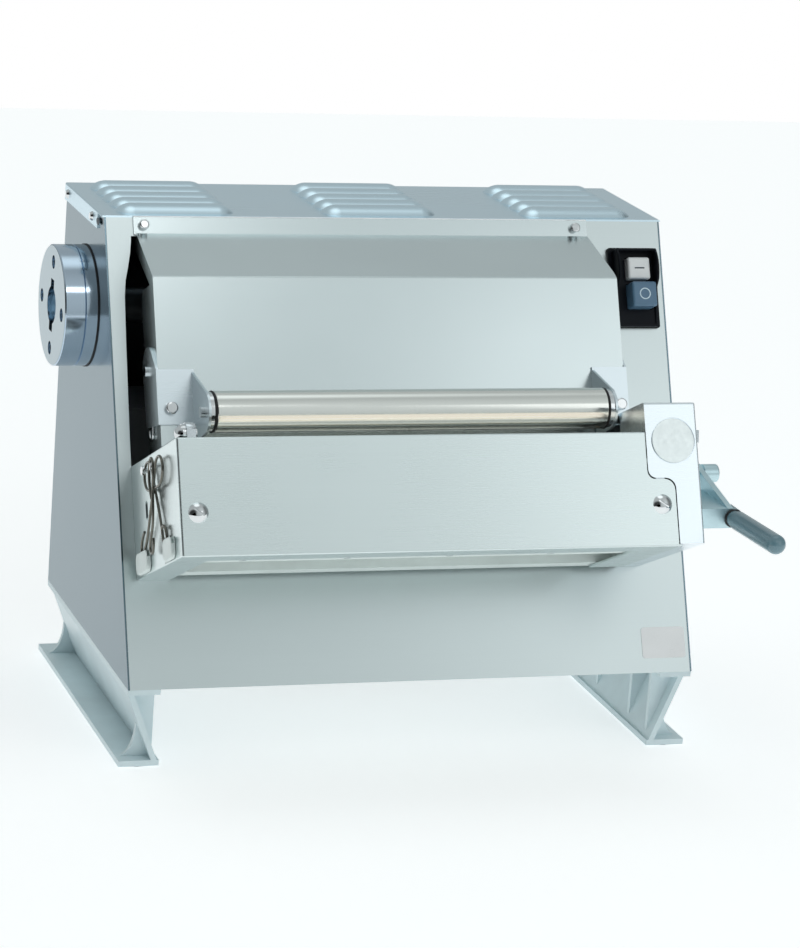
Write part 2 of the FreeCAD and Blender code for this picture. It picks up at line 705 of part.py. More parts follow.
def head_belt():
    """Closed loop from the main pulley to the drive roller's pulley, drawn just clear of both."""
    a = (MAIN_Y, MAIN_Z)
    b = head_point(DRIVE_N, ROLLER_S)
    x = (PULLEY_X[0] + 0.3, PULLEY_X[1] - 0.3)
    outer = belt_band(a, b, PULLEY_R + BELT_GAP + BELT_T, x)
    return outer.cut(belt_band(a, b, PULLEY_R + BELT_GAP, (x[0] - 1, x[1] + 1)))


def belt_band(a, b, radius, x):
    length = math.hypot(b[0] - a[0], b[1] - a[1])
    uy = -(b[1] - a[1]) / length * radius
    uz = (b[0] - a[0]) / length * radius
    far = [(b[0] + uy, b[1] + uz), (b[0] - uy, b[1] - uz)]
    run = prism_x([(a[0] + uy, a[1] + uz)] + far + [(a[0] - uy, a[1] - uz)], x)
    return join([run, rod_x(radius, x, a[0], a[1]), rod_x(radius, x, b[0], b[1])])


# Roller head

def bearing_plate(x0):
    x = (x0, x0 + PLATE_T)
    hem_n = GUARD_N - 8.0
    hem_s = GUARD_S[0] + SHEET + 0.5
    face_n = GUARD_N - SHEET
    outline = [(-45, 206), (face_n, 206), (face_n, 292), (119, 292), (119, 270)]
    outline += [(36, 270), (36, 288), (12, 288), (12, 272), (-SHEET, 272), (-SHEET, 430), (-45, 430)]
    plate = prism_x(outline, x)
    plate = plate.fuse(rod_x(EAR_R, x, EAR[0], EAR[1]))
    plate = plate.cut(box((x[0] - 1, x[1] + 1), (hem_n, GUARD_N), (GUARD_S[0] - 8.0, hem_s)))
    plate = plate.cut(rod_x(TIE_END_R, (x[0] - 1, x[1] + 1), EAR[0], EAR[1]))
    plate = plate.cut(rod_x(BUSH_R, (x[0] - 1, x[1] + 1), DRIVE_N, ROLLER_S))
    window = box((x[0] - 1, x[1] + 1), (PRESS_N - 16.3, PRESS_N + 16 + GAP_TRAVEL + 0.3),
                 (ROLLER_S - 20.1, ROLLER_S + 20.1))
    plate = plate.cut(window)
    plate = plate.cut(rod_x(GAP_SHAFT_R + RUN, (x[0] - 1, x[1] + 1), GAP_SHAFT_N, GAP_SHAFT_S))
    for n, s in (TIE_FRONT, TIE_REAR):
        plate = plate.cut(rod_x(TIE_END_R, (x[0] - 1, x[1] + 1), n, s))
    floor = BASE_Z + SHEET
    keep = box((-REACH, REACH), (-REACH, REACH), (floor, TOP_Z))
    nut_y = FOOT_BOLT_Y[0]
    nut_gap = FOOT_BOLT_HEAD_R + 1.5
    nut_z = (floor - 1, floor + FOOT_NUT_T + 1.5)
    nut_space = box((-REACH, REACH), (nut_y - nut_gap, nut_y + nut_gap), nut_z)
    return seat(plate).common(keep).cut(nut_space)


def tie_bars():
    """Cross bars with a shouldered, riveted end through each bearing plate."""
    bars = []
    for n, s in (TIE_FRONT, TIE_REAR):
        inner = (LEFT_PLATE_X + PLATE_T, RIGHT_PLATE_X)
        bar = rod_x(TIE_R, inner, n, s)
        ends = rod_x(TIE_END_R, (LEFT_PLATE_X, RIGHT_PLATE_X + PLATE_T), n, s)
        left = rod_x(TIE_HEAD_R, (LEFT_PLATE_X - 1, LEFT_PLATE_X), n, s)
        right = rod_x(TIE_HEAD_R, (RIGHT_PLATE_X + PLATE_T, RIGHT_PLATE_X + PLATE_T + 1), n, s)
        bars.append(seat(join([bar, ends, left, right])))
    return bars


def ear_studs():
    """Acorn-headed studs in the ears at the top of the bearing plates."""
    studs = []
    for outer, away in ((LEFT_PLATE_X, -1), (RIGHT_PLATE_X + PLATE_T, 1)):
        start = V(outer, EAR[0], EAR[1])
        collar = Part.makeCylinder(7.6, 2.6, start, V(away, 0, 0))
        shank = Part.makeCylinder(TIE_END_R, PLATE_T + 2, start, V(-away, 0, 0))
        centre = V(outer + away * 0.8, EAR[0], EAR[1])
        dome = Part.makeSphere(7.4, centre).common(Part.makeCylinder(9.0, 8.5, start, V(away, 0, 0)))
        studs.append(seat(join([collar, shank, dome])))
    return studs


def drive_roller():
    body = rod_x(ROLLER_R, ROLLER_X, DRIVE_N, ROLLER_S)
    journal = rod_x(JOURNAL_R, (LEFT_PLATE_X - 4, HEAD_GEAR_X[1] + 2), DRIVE_N, ROLLER_S)
    return seat(body.fuse(journal))


def press_roller():
    body = rod_x(ROLLER_R, ROLLER_X, PRESS_N, ROLLER_S)
    journal = rod_x(JOURNAL_R, (LEFT_PLATE_X - 4, HEAD_GEAR_X[1] + 2), PRESS_N, ROLLER_S)
    return seat(body.fuse(journal))


def drive_bushes():
    rings = []
    for x0 in (LEFT_PLATE_X, RIGHT_PLATE_X):
        rings.append(seat(bearing_ring((x0, x0 + PLATE_T), DRIVE_N, ROLLER_S, BUSH_R, JOURNAL_R + RUN)))
    return rings


def head_pulley():
    wheel = pulley((DRIVE_N, ROLLER_S))
    return seat(wheel.cut(rod_x(JOURNAL_R, (170, 192), DRIVE_N, ROLLER_S)))


def head_gear(n, phase):
    gear = involute_gear(HEAD_MODULE, HEAD_TEETH, HEAD_GEAR_X, (n, ROLLER_S), phase, 0.5)
    return seat(gear.cut(rod_x(JOURNAL_R, (180, 210), n, ROLLER_S)))


def press_blocks():
    """Sliding bearing blocks of the press roller, each with an inner follower face for its cam."""
    blocks = []
    for x0, follower in ((LEFT_PLATE_X, CAM_X[0]), (RIGHT_PLATE_X, CAM_X[1])):
        block = box((x0, x0 + PLATE_T), (PRESS_N - 16, PRESS_N + 16), (ROLLER_S - 20, ROLLER_S + 20))
        if x0 < 0:
            x = (x0 + PLATE_T, follower[1])
        else:
            x = (follower[0], x0)
        gap = 0.3
        x = (x[0] + gap, x[1]) if x0 < 0 else (x[0], x[1] - gap)
        arm = box(x, (PRESS_N - 16, BLOCK_FACE_N), (ROLLER_S - 20, SCRAPER_TOP_S))
        neck_x = (x0 + PLATE_T, x[0]) if x0 < 0 else (x[1], x0)
        neck = box(neck_x, (PRESS_N - 15, PRESS_N + 15), (ROLLER_S - 19, ROLLER_S + 19))
        block = join([block, neck, arm])
        block = block.cut(rod_x(JOURNAL_R + RUN, (x0 - 10, x0 + 20), PRESS_N, ROLLER_S))
        blocks.append(seat(block))
    return blocks


def scraper(body_n, tip_n, blade_n, end_n):
    """A scraper bar with a blade along its top and a wide round-cornered end outside the guard."""
    x = SCRAPER_X
    s = (SCRAPER_TOP_S, SCRAPER_LOW_S)
    end = rounded(box((x[0], SCRAPER_END_X), end_n, s), 6.0, lambda b: b.XLength > 1)
    end = rounded(end, 1.2, lambda b: b.XMax < x[0] + 0.01)
    bar = join([box((SCRAPER_END_X, x[1]), body_n, s), end])
    blade = prism_x([(tip_n, 275.2), (blade_n[0], SCRAPER_TOP_S + 1), (blade_n[1], SCRAPER_TOP_S + 1)],
                    (ROLLER_X[0] + 1, ROLLER_X[1] - 1))
    bar = bar.fuse(blade)
    groove = box((-241.2, -239.0), (body_n[0] - 1, end_n[1] + 1), (SCRAPER_TOP_S - 1, SCRAPER_TOP_S + 6))
    return bar.cut(groove)


def rear_scraper():
    return seat(scraper(REAR_SCRAPER_N, 40.0, (26.0, 34.0), REAR_END_N))


def front_scraper():
    return seat(scraper(FRONT_SCRAPER_N, 85.0, (96.0, 104.0), FRONT_END_N))


def cam_profile():
    """Cam for a flat follower: its support distance grows evenly with the angle, then returns."""
    rest = GAP_SHAFT_N - BLOCK_FACE_N - CAM_CLEAR
    start, end = (math.radians(a) for a in CAM_RISE_DEG)
    low = rest - CAM_RATE * (math.pi - start)
    high = rest + CAM_RATE * (end - math.pi)
    span = start + 2 * math.pi - end
    points = []
    for i in range(CAM_RISE_STEPS):
        a = start + (end - start) * i / CAM_RISE_STEPS
        points.append(support_point(a, rest - CAM_RATE * (math.pi - a), CAM_RATE))
    for i in range(CAM_RETURN_STEPS):
        u = i / CAM_RETURN_STEPS
        h = hermite(u, high, low, CAM_RATE * span)
        points.append(support_point(end + span * u, h, hermite_slope(u, high, low, CAM_RATE * span) / span))
    return points


def hermite(u, p0, p1, m):
    """Cubic from p0 to p1 over u from 0 to 1, with slope m at both ends."""
    ease = 3 * u ** 2 - 2 * u ** 3
    return p0 + (p1 - p0) * ease + m * (2 * u ** 3 - 3 * u ** 2 + u)


def hermite_slope(u, p0, p1, m):
    return (p1 - p0) * (6 * u - 6 * u ** 2) + m * (6 * u ** 2 - 6 * u + 1)


def support_point(a, h, dh):
    return GAP_SHAFT_N + h * math.cos(a) - dh * math.sin(a), GAP_SHAFT_S + h * math.sin(a) + dh * math.cos(a)


def gap_cams():
    cams = []
    for x in ((CAM_X[0][0] + 0.2, CAM_X[0][1]), (CAM_X[1][0], CAM_X[1][1] - 0.2)):
        cam = prism_x(cam_profile(), x)
        cams.append(seat(cam.cut(rod_x(GAP_SHAFT_R, (x[0] - 1, x[1] + 1), GAP_SHAFT_N, GAP_SHAFT_S))))
    return cams


def gap_shaft():
    return seat(rod_x(GAP_SHAFT_R, (LEFT_PLATE_X - 5, ARM_X[0]), GAP_SHAFT_N, GAP_SHAFT_S))


def guard():
    """Folded cover over the working rollers, open above and below."""
    n1 = GUARD_N
    s0, s1 = GUARD_S
    x0, x1 = GUARD_X
    side = box((x0, x0 + SHEET), (0.3, n1), (s0, s1))
    through = (x0 - 1, x0 + 3)
    window_s = (SCRAPER_TOP_S - 2, SCRAPER_LOW_S + 0.4)
    side = side.cut(box(through, (REAR_SCRAPER_N[0] - 1.5, REAR_SCRAPER_N[1] + 1.5), window_s))
    side = side.cut(box(through, (FRONT_SCRAPER_N[0] - 1.5, FRONT_SCRAPER_N[1] + GAP_TRAVEL + 1.5), window_s))
    side = side.cut(slot_x(through, 45.0, 248.0, 264.0, 3.5))
    front = guard_front_profile((n1 - SHEET, n1))
    hem = box((x0, COVER_X[0] - 1.5), (n1 - 7, n1 - SHEET), (s0, s0 + SHEET))
    left_hem = box((x0, x0 + GUARD_FLANGE), (0.3, n1), (s1 - SHEET, s1))
    front_hem = box((x0, x1), (n1 - GUARD_FLANGE, n1), (s1 - SHEET, s1))
    right_hem = box((x1 - 32, x1), (18.0, n1), (s1 - SHEET, s1))
    shell = join([side, front, hem, left_hem, front_hem, right_hem])
    for x in GUARD_SCREW_X:
        shell = shell.cut(rod_y(3.0, x, (n1 - 3, n1 + 1), GUARD_SCREW_S))
    shell = rounded(shell, 2.0, lambda b: b.YMin > n1 - 0.01 and b.XLength < 0.01 and b.XMin < x0 + 0.01)
    shell = rounded(shell, 1.2, lambda b: b.YMin > n1 - 2.1 and b.XLength > 300 and b.ZLength < 2.1)
    return seat(shell)


def slot_x(x, n, s0, s1, radius):
    body = box(x, (n - radius, n + radius), (s0 + radius, s1 - radius))
    return join([body, rod_x(radius, x, n, s0 + radius), rod_x(radius, x, n, s1 - radius)])


def s_curve(gap):
    """The stepped joint line between the roller guard and the gear cover, from top to bottom."""
    x0 = COVER_X[0] - gap
    x1 = COVER_WAIST_X - 2.0 - gap
    step = COVER_STEP_S + gap
    first = arc((x0 + 7, step - 7), 7.0, 180, 90, 6)
    second = arc((x1 - 9, step + 9), 9.0, 270, 360, 6)
    return [(x0, COVER_S[0])] + first + second + [(x1, GUARD_S[1])]


def plate_xs(points, n):
    corners = [V(x, n[0], s) for x, s in points]
    face = Part.Face(Part.makePolygon(corners + corners[:1]))
    return face.extrude(V(0, n[1] - n[0], 0))


def guard_front_profile(n):
    line = s_curve(COVER_FIT)
    line[0] = (line[0][0], GUARD_S[0])
    return plate_xs([(GUARD_X[0], GUARD_S[1]), (GUARD_X[0], GUARD_S[0])] + line, n)


def gear_cover():
    n1 = COVER_N
    x0, x1 = COVER_X
    s0, s1 = COVER_S
    line = s_curve(0.0)
    line[-1] = (line[-1][0], s1)
    front = plate_xs(line + [(x1, s1), (x1, s0)], (n1 - SHEET, n1))
    left = box((x0, x0 + SHEET), (94.0, n1), (s0, 211.5))
    top = box((x0, x1), (HOOD_N + 2.5, n1), (s0, s0 + SHEET))
    top_rear = box((HOOD_X[1] + 2.5, x1), (0.2, HOOD_N + 3), (s0, s0 + SHEET))
    right = box((x1 - SHEET, x1), (0.2, n1), (s0, s1))
    bottom = box((COVER_WAIST_X, x1), (0.2, n1), (s1 - SHEET, s1))
    shell = join([front, left, top, top_rear, right, bottom])
    shell = shell.cut(rod_x(9.5, (x1 - 3, x1 + 1), GAP_SHAFT_N, GAP_SHAFT_S))
    groove = rod_y(DISC_R, DISC_X, (n1 - 0.6, n1 + 1), DISC_S)
    shell = shell.cut(groove.cut(rod_y(DISC_R - 0.7, DISC_X, (n1 - 1, n1 + 2), DISC_S)))
    for n, s in sector_posts():
        shell = shell.cut(rod_x(2.5, (x1 - 3, x1 + 1), n, s))
    shell = rounded(shell, 2.0, lambda b: b.YMin > n1 - 0.01 and b.XLength < 0.01 and b.XMin > x1 - 0.01)
    shell = rounded(shell, 2.0, lambda b: b.YMin > n1 - 2.1 and b.ZMax < s0 + 0.01 and b.XLength > 20)
    return seat(shell)


def guard_screws():
    screws = []
    for x in GUARD_SCREW_X:
        dome = Part.makeSphere(10.0, V(x, GUARD_N + 4.5 - 10.0, GUARD_SCREW_S)).common(
            box((x - 12, x + 12), (GUARD_N, GUARD_N + 6), (GUARD_SCREW_S - 12, GUARD_SCREW_S + 12)))
        shank = rod_y(3.0, x, (GUARD_N - SHEET, GUARD_N), GUARD_SCREW_S)
        slot = box((x - 12, x + 12), (GUARD_N + 3.2, GUARD_N + 6), (GUARD_SCREW_S - 0.7, GUARD_SCREW_S + 0.7))
        slot.rotate(V(x, 0, GUARD_SCREW_S), V(0, 1, 0), -35.0)
        screws.append(seat(dome.fuse(shank).cut(slot)))
    return screws


# Springs on the guard's left side

def scraper_spring(top, low):
    """Closed wire loop: two straight legs and a round eye at each end, given as n and s centres."""
    length = math.hypot(low[0] - top[0], low[1] - top[1])
    along = V(0, (low[0] - top[0]) / length, (low[1] - top[1]) / length)
    side = V(0, along.z, -along.y)
    a = V(SPRING_X, top[0], top[1])
    b = V(SPRING_X, low[0], low[1])
    r = EYE_R
    edges = [Part.LineSegment(a + side * r, b + side * r).toShape(),
             Part.Arc(b + side * r, b + along * r, b - side * r).toShape(),
             Part.LineSegment(b - side * r, a - side * r).toShape(),
             Part.Arc(a - side * r, a - along * r, a + side * r).toShape()]
    circle = Part.Wire([Part.Circle(a + side * r, along, SPRING_WIRE_R).toShape()])
    return Part.Wire(edges).makePipeShell([circle], True, True)


def scraper_springs():
    springs = []
    for top_n, low_n in zip(HOOK_N, EYE_LOW_N):
        springs.append(seat(scraper_spring((top_n, EYE_TOP_S), (low_n, EYE_LOW_S))))
    return springs


def spring_hooks():
    hooks = []
    for n in HOOK_N:
        pin = rod_x(2.0, (-243.0, GUARD_X[0]), n, HOOK_S)
        head = rod_x(3.6, (-244.2, -242.2), n, HOOK_S)
        hooks.append(seat(pin.fuse(head)))
    return hooks


# Gap lever

def lever_block():
    """Lever casting: a square boss on the gap shaft and a side rib that carries the index plunger."""
    y, z = head_point(GAP_SHAFT_N, GAP_SHAFT_S)
    half = LEVER_HALF
    boss = box(LEVER_X, (y - half, y + 48), (z - half, z + half))
    rib = [(y - half, z - half), (y - half, z + half), (y + 57, z + half + 14), (y + 68, z + half + 17)]
    rib += [(y + 78, z + 22), (y + 79, z + 10), (y + 72, z + 5), (y + 46, z - half)]
    arm = prism_x(rib, ARM_X)
    pocket = box((LEVER_X[0] - 1, LEVER_X[1] - 5), (y + 12, y + 43), (z - half - 1, z + half - 5))
    block = boss.cut(pocket).fuse(arm)
    guide_y, guide_z = plunger_axis()
    block = block.cut(rod_x(PLUNGER_R + RUN, (ARM_X[0] - 1, ARM_X[1] + 1), guide_y, guide_z))
    return block.cut(rod_x(GAP_SHAFT_R, (LEVER_X[0] - 1, ARM_X[0]), y, z))


def plunger_axis():
    """The machine's Y and Z of the index plunger at rest."""
    y, z = head_point(GAP_SHAFT_N, GAP_SHAFT_S)
    return y + PLUNGER_OFFSET[0], z + PLUNGER_OFFSET[1]


def lever_grip():
    y, z = head_point(GAP_SHAFT_N, GAP_SHAFT_S)
    root = y - LEVER_HALF
    end = Part.makeSphere(GRIP_R, V(GRIP_X, GRIP_TIP_Y + GRIP_R, z + 3.6))
    start = Part.makeCylinder(GRIP_R - 1.2, 14.0, V(GRIP_X, root, z), V(0, -1, 0.04))
    length = root - 10.0 - (GRIP_TIP_Y + GRIP_R)
    body = Part.makeCylinder(GRIP_R, length, V(GRIP_X, GRIP_TIP_Y + GRIP_R, z + 3.6), V(0, 1, -0.04))
    socket = box((ARM_X[0], GRIP_X + 6.0), (root, root + 20.0), (z - 6.0, z + 6.0))
    grip = join([end, start, body, socket])
    return grip.cut(box((LEVER_X[0], ARM_X[1]), (root, root + 30), (z - 20, z + 20)))


def index_plunger():
    y, z = plunger_axis()
    knob = rod_x(KNOB_R, (ARM_X[1] + KNOB_GAP, KNOB_END_X), y, z)
    knob = knob.makeFillet(1.6, [e for e in knob.Edges if abs(e.BoundBox.XMin - KNOB_END_X) < 0.01])
    pin = rod_x(PLUNGER_R, (SECTOR_X[1] + 0.6, ARM_X[1] + KNOB_GAP + 0.5), y, z)
    return knob.fuse(pin)


def index_sector():
    """Fixed plate with a row of notches on an arc about the lever's axis."""
    y, z = head_point(GAP_SHAFT_N, GAP_SHAFT_S)
    radius = math.hypot(PLUNGER_OFFSET[0], PLUNGER_OFFSET[1])
    rest = math.degrees(math.atan2(PLUNGER_OFFSET[1], PLUNGER_OFFSET[0]))
    start = rest - SECTOR_MARGIN_DEG
    end = rest + LEVER_TURN_DEG + SECTOR_MARGIN_DEG
    outer = arc((y, z), radius + SECTOR_RIM, start, end, 24)
    inner = arc((y, z), radius - SECTOR_BAND, end, start, 24)
    plate = prism_x(outer + inner, SECTOR_X)
    for a, b in arc((y, z), radius, rest, rest + LEVER_TURN_DEG, 6):
        plate = plate.cut(rod_x(PLUNGER_R + 0.2, (SECTOR_X[0] - 1, SECTOR_X[1] + 1), a, b))
    posts = []
    for n, s in sector_posts():
        posts.append(seat(rod_x(3.0, (COVER_X[1], SECTOR_X[0]), n, s)))
        posts.append(seat(rod_x(2.5, (COVER_X[1] - SHEET, COVER_X[1]), n, s)))
    return join([plate] + posts)


def sector_posts():
    """Centres, as n and s, of the posts that hold the index sector off the gear cover."""
    radius = math.hypot(PLUNGER_OFFSET[0], PLUNGER_OFFSET[1])
    rest = math.degrees(math.atan2(PLUNGER_OFFSET[1], PLUNGER_OFFSET[0]))
    y0, z0 = head_point(GAP_SHAFT_N, GAP_SHAFT_S)
    posts = []
    for y, z in arc((y0, z0), radius - SECTOR_BAND / 2.0, rest + 15, rest + LEVER_TURN_DEG - 15, 1):
        t = math.radians(TILT_DEG)
        n = -y * math.cos(t) + (z - TOP_Z) * math.sin(t)
        s = -y * math.sin(t) - (z - TOP_Z) * math.cos(t)
        posts.append((n, s))
    return posts


# Hood and idle roller

def infeed_hood():
    x0, x1 = HOOD_X
    strip = box((-225.4, 181.0), (0, SHEET), (0.8, 16.5))
    t = SHEET
    run = [(0.0, 15.5), (HOOD_N - t, HOOD_FOLD_S + 0.6), (HOOD_N, HOOD_FOLD_S), (1.5, 15.5)]
    slope = prism_x(run, (x0, x1))
    slope = slope.cut(prism_y([(181.0, 15.0), (x1 + 1, HOOD_FOLD_S), (x1 + 1, 15.0)], (-5, 60)))
    panel = box((x0, x1), (HOOD_N - t, HOOD_N), (HOOD_FOLD_S, HOOD_END_S))
    cheek = [(HOOD_N, HOOD_FOLD_S), (HOOD_N, HOOD_END_S), (8, HOOD_END_S), (8, 73), (13, 67)]
    left = prism_x([(0.0, 16.0)] + cheek + [(37, 67), (-8.3, 25.0)], (x0, x0 + t))
    right = prism_x(cheek, (x1 - t, x1))
    hood = join([strip, slope, panel, left, right])
    for x in HOOD_PIN_X:
        hood = hood.cut(rod_y(2.5, x, (-1, 3), HOOD_PIN_S))
    for x in BRACKET_BOLT_X:
        hood = hood.cut(rod_y(3.0, x, (HOOD_N - 4, HOOD_N + 1), BRACKET_BOLT_S))
    hood = hood.cut(rod_x(WING_BOLT_R, (x0 - 1, x1 + 1), WING_BOLT[0], WING_BOLT[1]))
    hood = rounded(hood, 2.0, lambda b: b.YMin > HOOD_N - 0.01 and b.ZMax < HOOD_FOLD_S + 0.01)
    return seat(hood)


def hood_pins():
    pins = []
    for x in HOOD_PIN_X:
        shank = rod_y(2.5, x, (-6.0, SHEET), HOOD_PIN_S)
        head = rod_y(4.3, x, (SHEET, SHEET + 5.0), HOOD_PIN_S)
        head = head.makeFillet(1.5, [e for e in head.Edges if abs(e.BoundBox.YMin - SHEET - 5.0) < 0.01])
        pins.append(seat(shank.fuse(head)))
    return pins


def nose_profile():
    """Side view of the bracket's inner ear: a sloped top edge running into a round nose."""
    nose = arc((IDLE_N, IDLE_S), 17.5, -52, 78, 14)
    foot = [(IDLE_N - 12, 200.0), (HOOD_N + 2, 200.0), (HOOD_N + 2, 186.0), (HOOD_N, 186.0)]
    return [(HOOD_N, 141.5)] + nose + foot


def idle_bracket(side):
    if side < 0:
        ear_x = (BRACKET_X[0], BRACKET_X[0] + BRACKET_T)
        plate_x = (HOOD_X[0] - BRACKET_T, BRACKET_X[0] + BRACKET_T)
        wing_x = (HOOD_X[0] - BRACKET_T, HOOD_X[0])
        bolt_x = BRACKET_BOLT_X[0]
    else:
        ear_x = (BRACKET_X[1] - BRACKET_T, BRACKET_X[1])
        plate_x = (BRACKET_X[1] - BRACKET_T, HOOD_X[1] + BRACKET_T)
        wing_x = (HOOD_X[1], HOOD_X[1] + BRACKET_T)
        bolt_x = BRACKET_BOLT_X[1]
    ear = prism_x(nose_profile(), ear_x)
    plate = box(plate_x, (HOOD_N, HOOD_N + BRACKET_T), (140.0, 186.0))
    tab = arc((24.0, 134.0), 17.0, 180, 330, 10)
    outer = HOOD_N + BRACKET_T
    wing = prism_x([(outer, 140.0), (outer, 186.0), (10.0, 182.0), (7.0, 140.0)] + tab, wing_x)
    bracket = join([ear, plate, wing])
    bracket = bracket.cut(rod_x(WING_BOLT_R, (wing_x[0] - 1, wing_x[1] + 1), WING_BOLT[0], WING_BOLT[1]))
    bracket = bracket.cut(rod_y(3.0, bolt_x, (HOOD_N - 1, HOOD_N + 4), BRACKET_BOLT_S))
    return seat(bracket.cut(rod_x(3.0, (ear_x[0] - 1, ear_x[1] + 1), IDLE_N, IDLE_S)))


def bracket_bolts():
    bolts = []
    seat_n = HOOD_N + BRACKET_T
    tip_n = seat_n + 4.5
    for x in BRACKET_BOLT_X:
        shank = rod_y(3.0, x, (HOOD_N - SHEET - 4, seat_n), BRACKET_BOLT_S)
        head = rod_y(5.2, x, (seat_n, tip_n), BRACKET_BOLT_S)
        head = head.makeFillet(1.4, [e for e in head.Edges if abs(e.BoundBox.YMin - tip_n) < 0.01])
        nut = rod_y(NUT_R, x, (HOOD_N - SHEET - 4.5, HOOD_N - SHEET), BRACKET_BOLT_S)
        bolts.append(seat(join([shank, head, nut])))
    for side, x in ((-1, HOOD_X[0]), (1, HOOD_X[1])):
        bolts.append(seat(wing_bolt(side, x)))
    return bolts


def wing_bolt(side, x):
    """Small bolt along X through a bracket's wing and the hood's cheek, whose outer face is at x."""
    n, s = WING_BOLT
    face = V(x + side * BRACKET_T, n, s)
    out = V(side, 0, 0)
    head = Part.makeCylinder(NUT_R, 2.6, face, out)
    shank = Part.makeCylinder(WING_BOLT_R, BRACKET_T + SHEET + 3.0, face, out * -1)
    nut = Part.makeCylinder(3.6, 3.0, face - out * (BRACKET_T + SHEET), out * -1)
    return join([head, shank, nut])


def idle_axle():
    axle = rod_x(IDLE_AXLE_R, (BRACKET_X[0] + BRACKET_T, BRACKET_X[1] - BRACKET_T), IDLE_N, IDLE_S)
    ends = rod_x(3.0, (BRACKET_X[0] - 1, BRACKET_X[1] + 1), IDLE_N, IDLE_S)
    left = rod_x(4.6, (BRACKET_X[0] - 3.0, BRACKET_X[0]), IDLE_N, IDLE_S)
    right = rod_x(4.6, (BRACKET_X[1], BRACKET_X[1] + 3.0), IDLE_N, IDLE_S)
    return seat(join([axle, ends, left, right]))


def idle_washers():
    rings = []
    for x in ((BRACKET_X[0] + BRACKET_T, IDLE_X[0] - 0.4), (IDLE_X[1] + 0.4, BRACKET_X[1] - BRACKET_T)):
        rings.append(seat(bearing_ring(x, IDLE_N, IDLE_S, IDLE_R - 1.0, IDLE_AXLE_R)))
    return rings


def idle_roller():
    body = rod_x(IDLE_R, IDLE_X, IDLE_N, IDLE_S)
    body = body.makeChamfer(0.6, [e for e in body.Edges if e.BoundBox.XMax - e.BoundBox.XMin < 0.01])
    body = body.cut(rod_x(IDLE_R - 2.5, (IDLE_X[0] + 14, IDLE_X[1] - 14), IDLE_N, IDLE_S))
    return seat(body.cut(rod_x(IDLE_AXLE_R + RUN, (IDLE_X[0] - 1, IDLE_X[1] + 1), IDLE_N, IDLE_S)))


# Electrical parts

def switch_body():
    """Panel switch: a thin flange, a wavy shroud round the two keys, and the works behind the panel."""
    flange = rounded(box(SWITCH_X, (0, FLANGE_N), SWITCH_S), 2.0, lambda b: b.YLength > FLANGE_N - 0.01)
    s0, s1 = SHROUD_S
    shroud = prism_x([(0.0, s0)] + SHROUD_SIDE + [(0.0, s1)], SHROUD_X)
    shroud = rounded(shroud, 1.2, lambda b: b.XLength < 0.01 and b.YMax > FLANGE_N + 1)
    wall = SHROUD_WALL
    bay = box((SHROUD_X[0] + wall, SHROUD_X[1] - wall), (BAY_FLOOR_N, 30.0), (s0 + wall, s1 - wall))
    rear = box((SWITCH_X[0] + 4, SWITCH_X[1] - 4), (-34.0, 0), (SWITCH_S[0] + 4, SWITCH_S[1] - 4))
    body = join([flange, shroud.cut(bay), rear])
    for bay in (ON_BAY, OFF_BAY):
        x = (bay[0] - KEY_FIT, bay[1] + KEY_FIT)
        body = body.cut(box(x, (-8.0, BAY_FLOOR_N + 1), (bay[2] - KEY_FIT, bay[3] + KEY_FIT)))
    return seat(body)


def button(bay, proud):
    key = box((bay[0], bay[1]), (-3.0, proud), (bay[2], bay[3]))
    return seat(key.makeFillet(2.2, [e for e in key.Edges if e.BoundBox.YMax > proud - 0.1]))


def control_box():
    case = box((-235.0, -120.0), (70.0, BACK_Y - SHEET), (150.0, 250.0))
    lid = box((-232.0, -123.0), (66.0, 70.0), (153.0, 247.0))
    return case.fuse(lid)


def cable_gland():
    thread = rod_y(8.0, GLAND_X, (BACK_Y - SHEET, BACK_Y), GLAND_Z)
    nut = rod_y(11.0, GLAND_X, (BACK_Y, BACK_Y + 5), GLAND_Z)
    dome = Part.makeCone(10.0, 6.5, 7.0, V(GLAND_X, BACK_Y + 5, GLAND_Z), V(0, 1, 0))
    lock = rod_y(11.0, GLAND_X, (BACK_Y - SHEET - 5, BACK_Y - SHEET), GLAND_Z)
    gland = join([thread, nut, dome, lock])
    return gland.cut(rod_y(4.0, GLAND_X, (BACK_Y - 20, BACK_Y + 20), GLAND_Z))


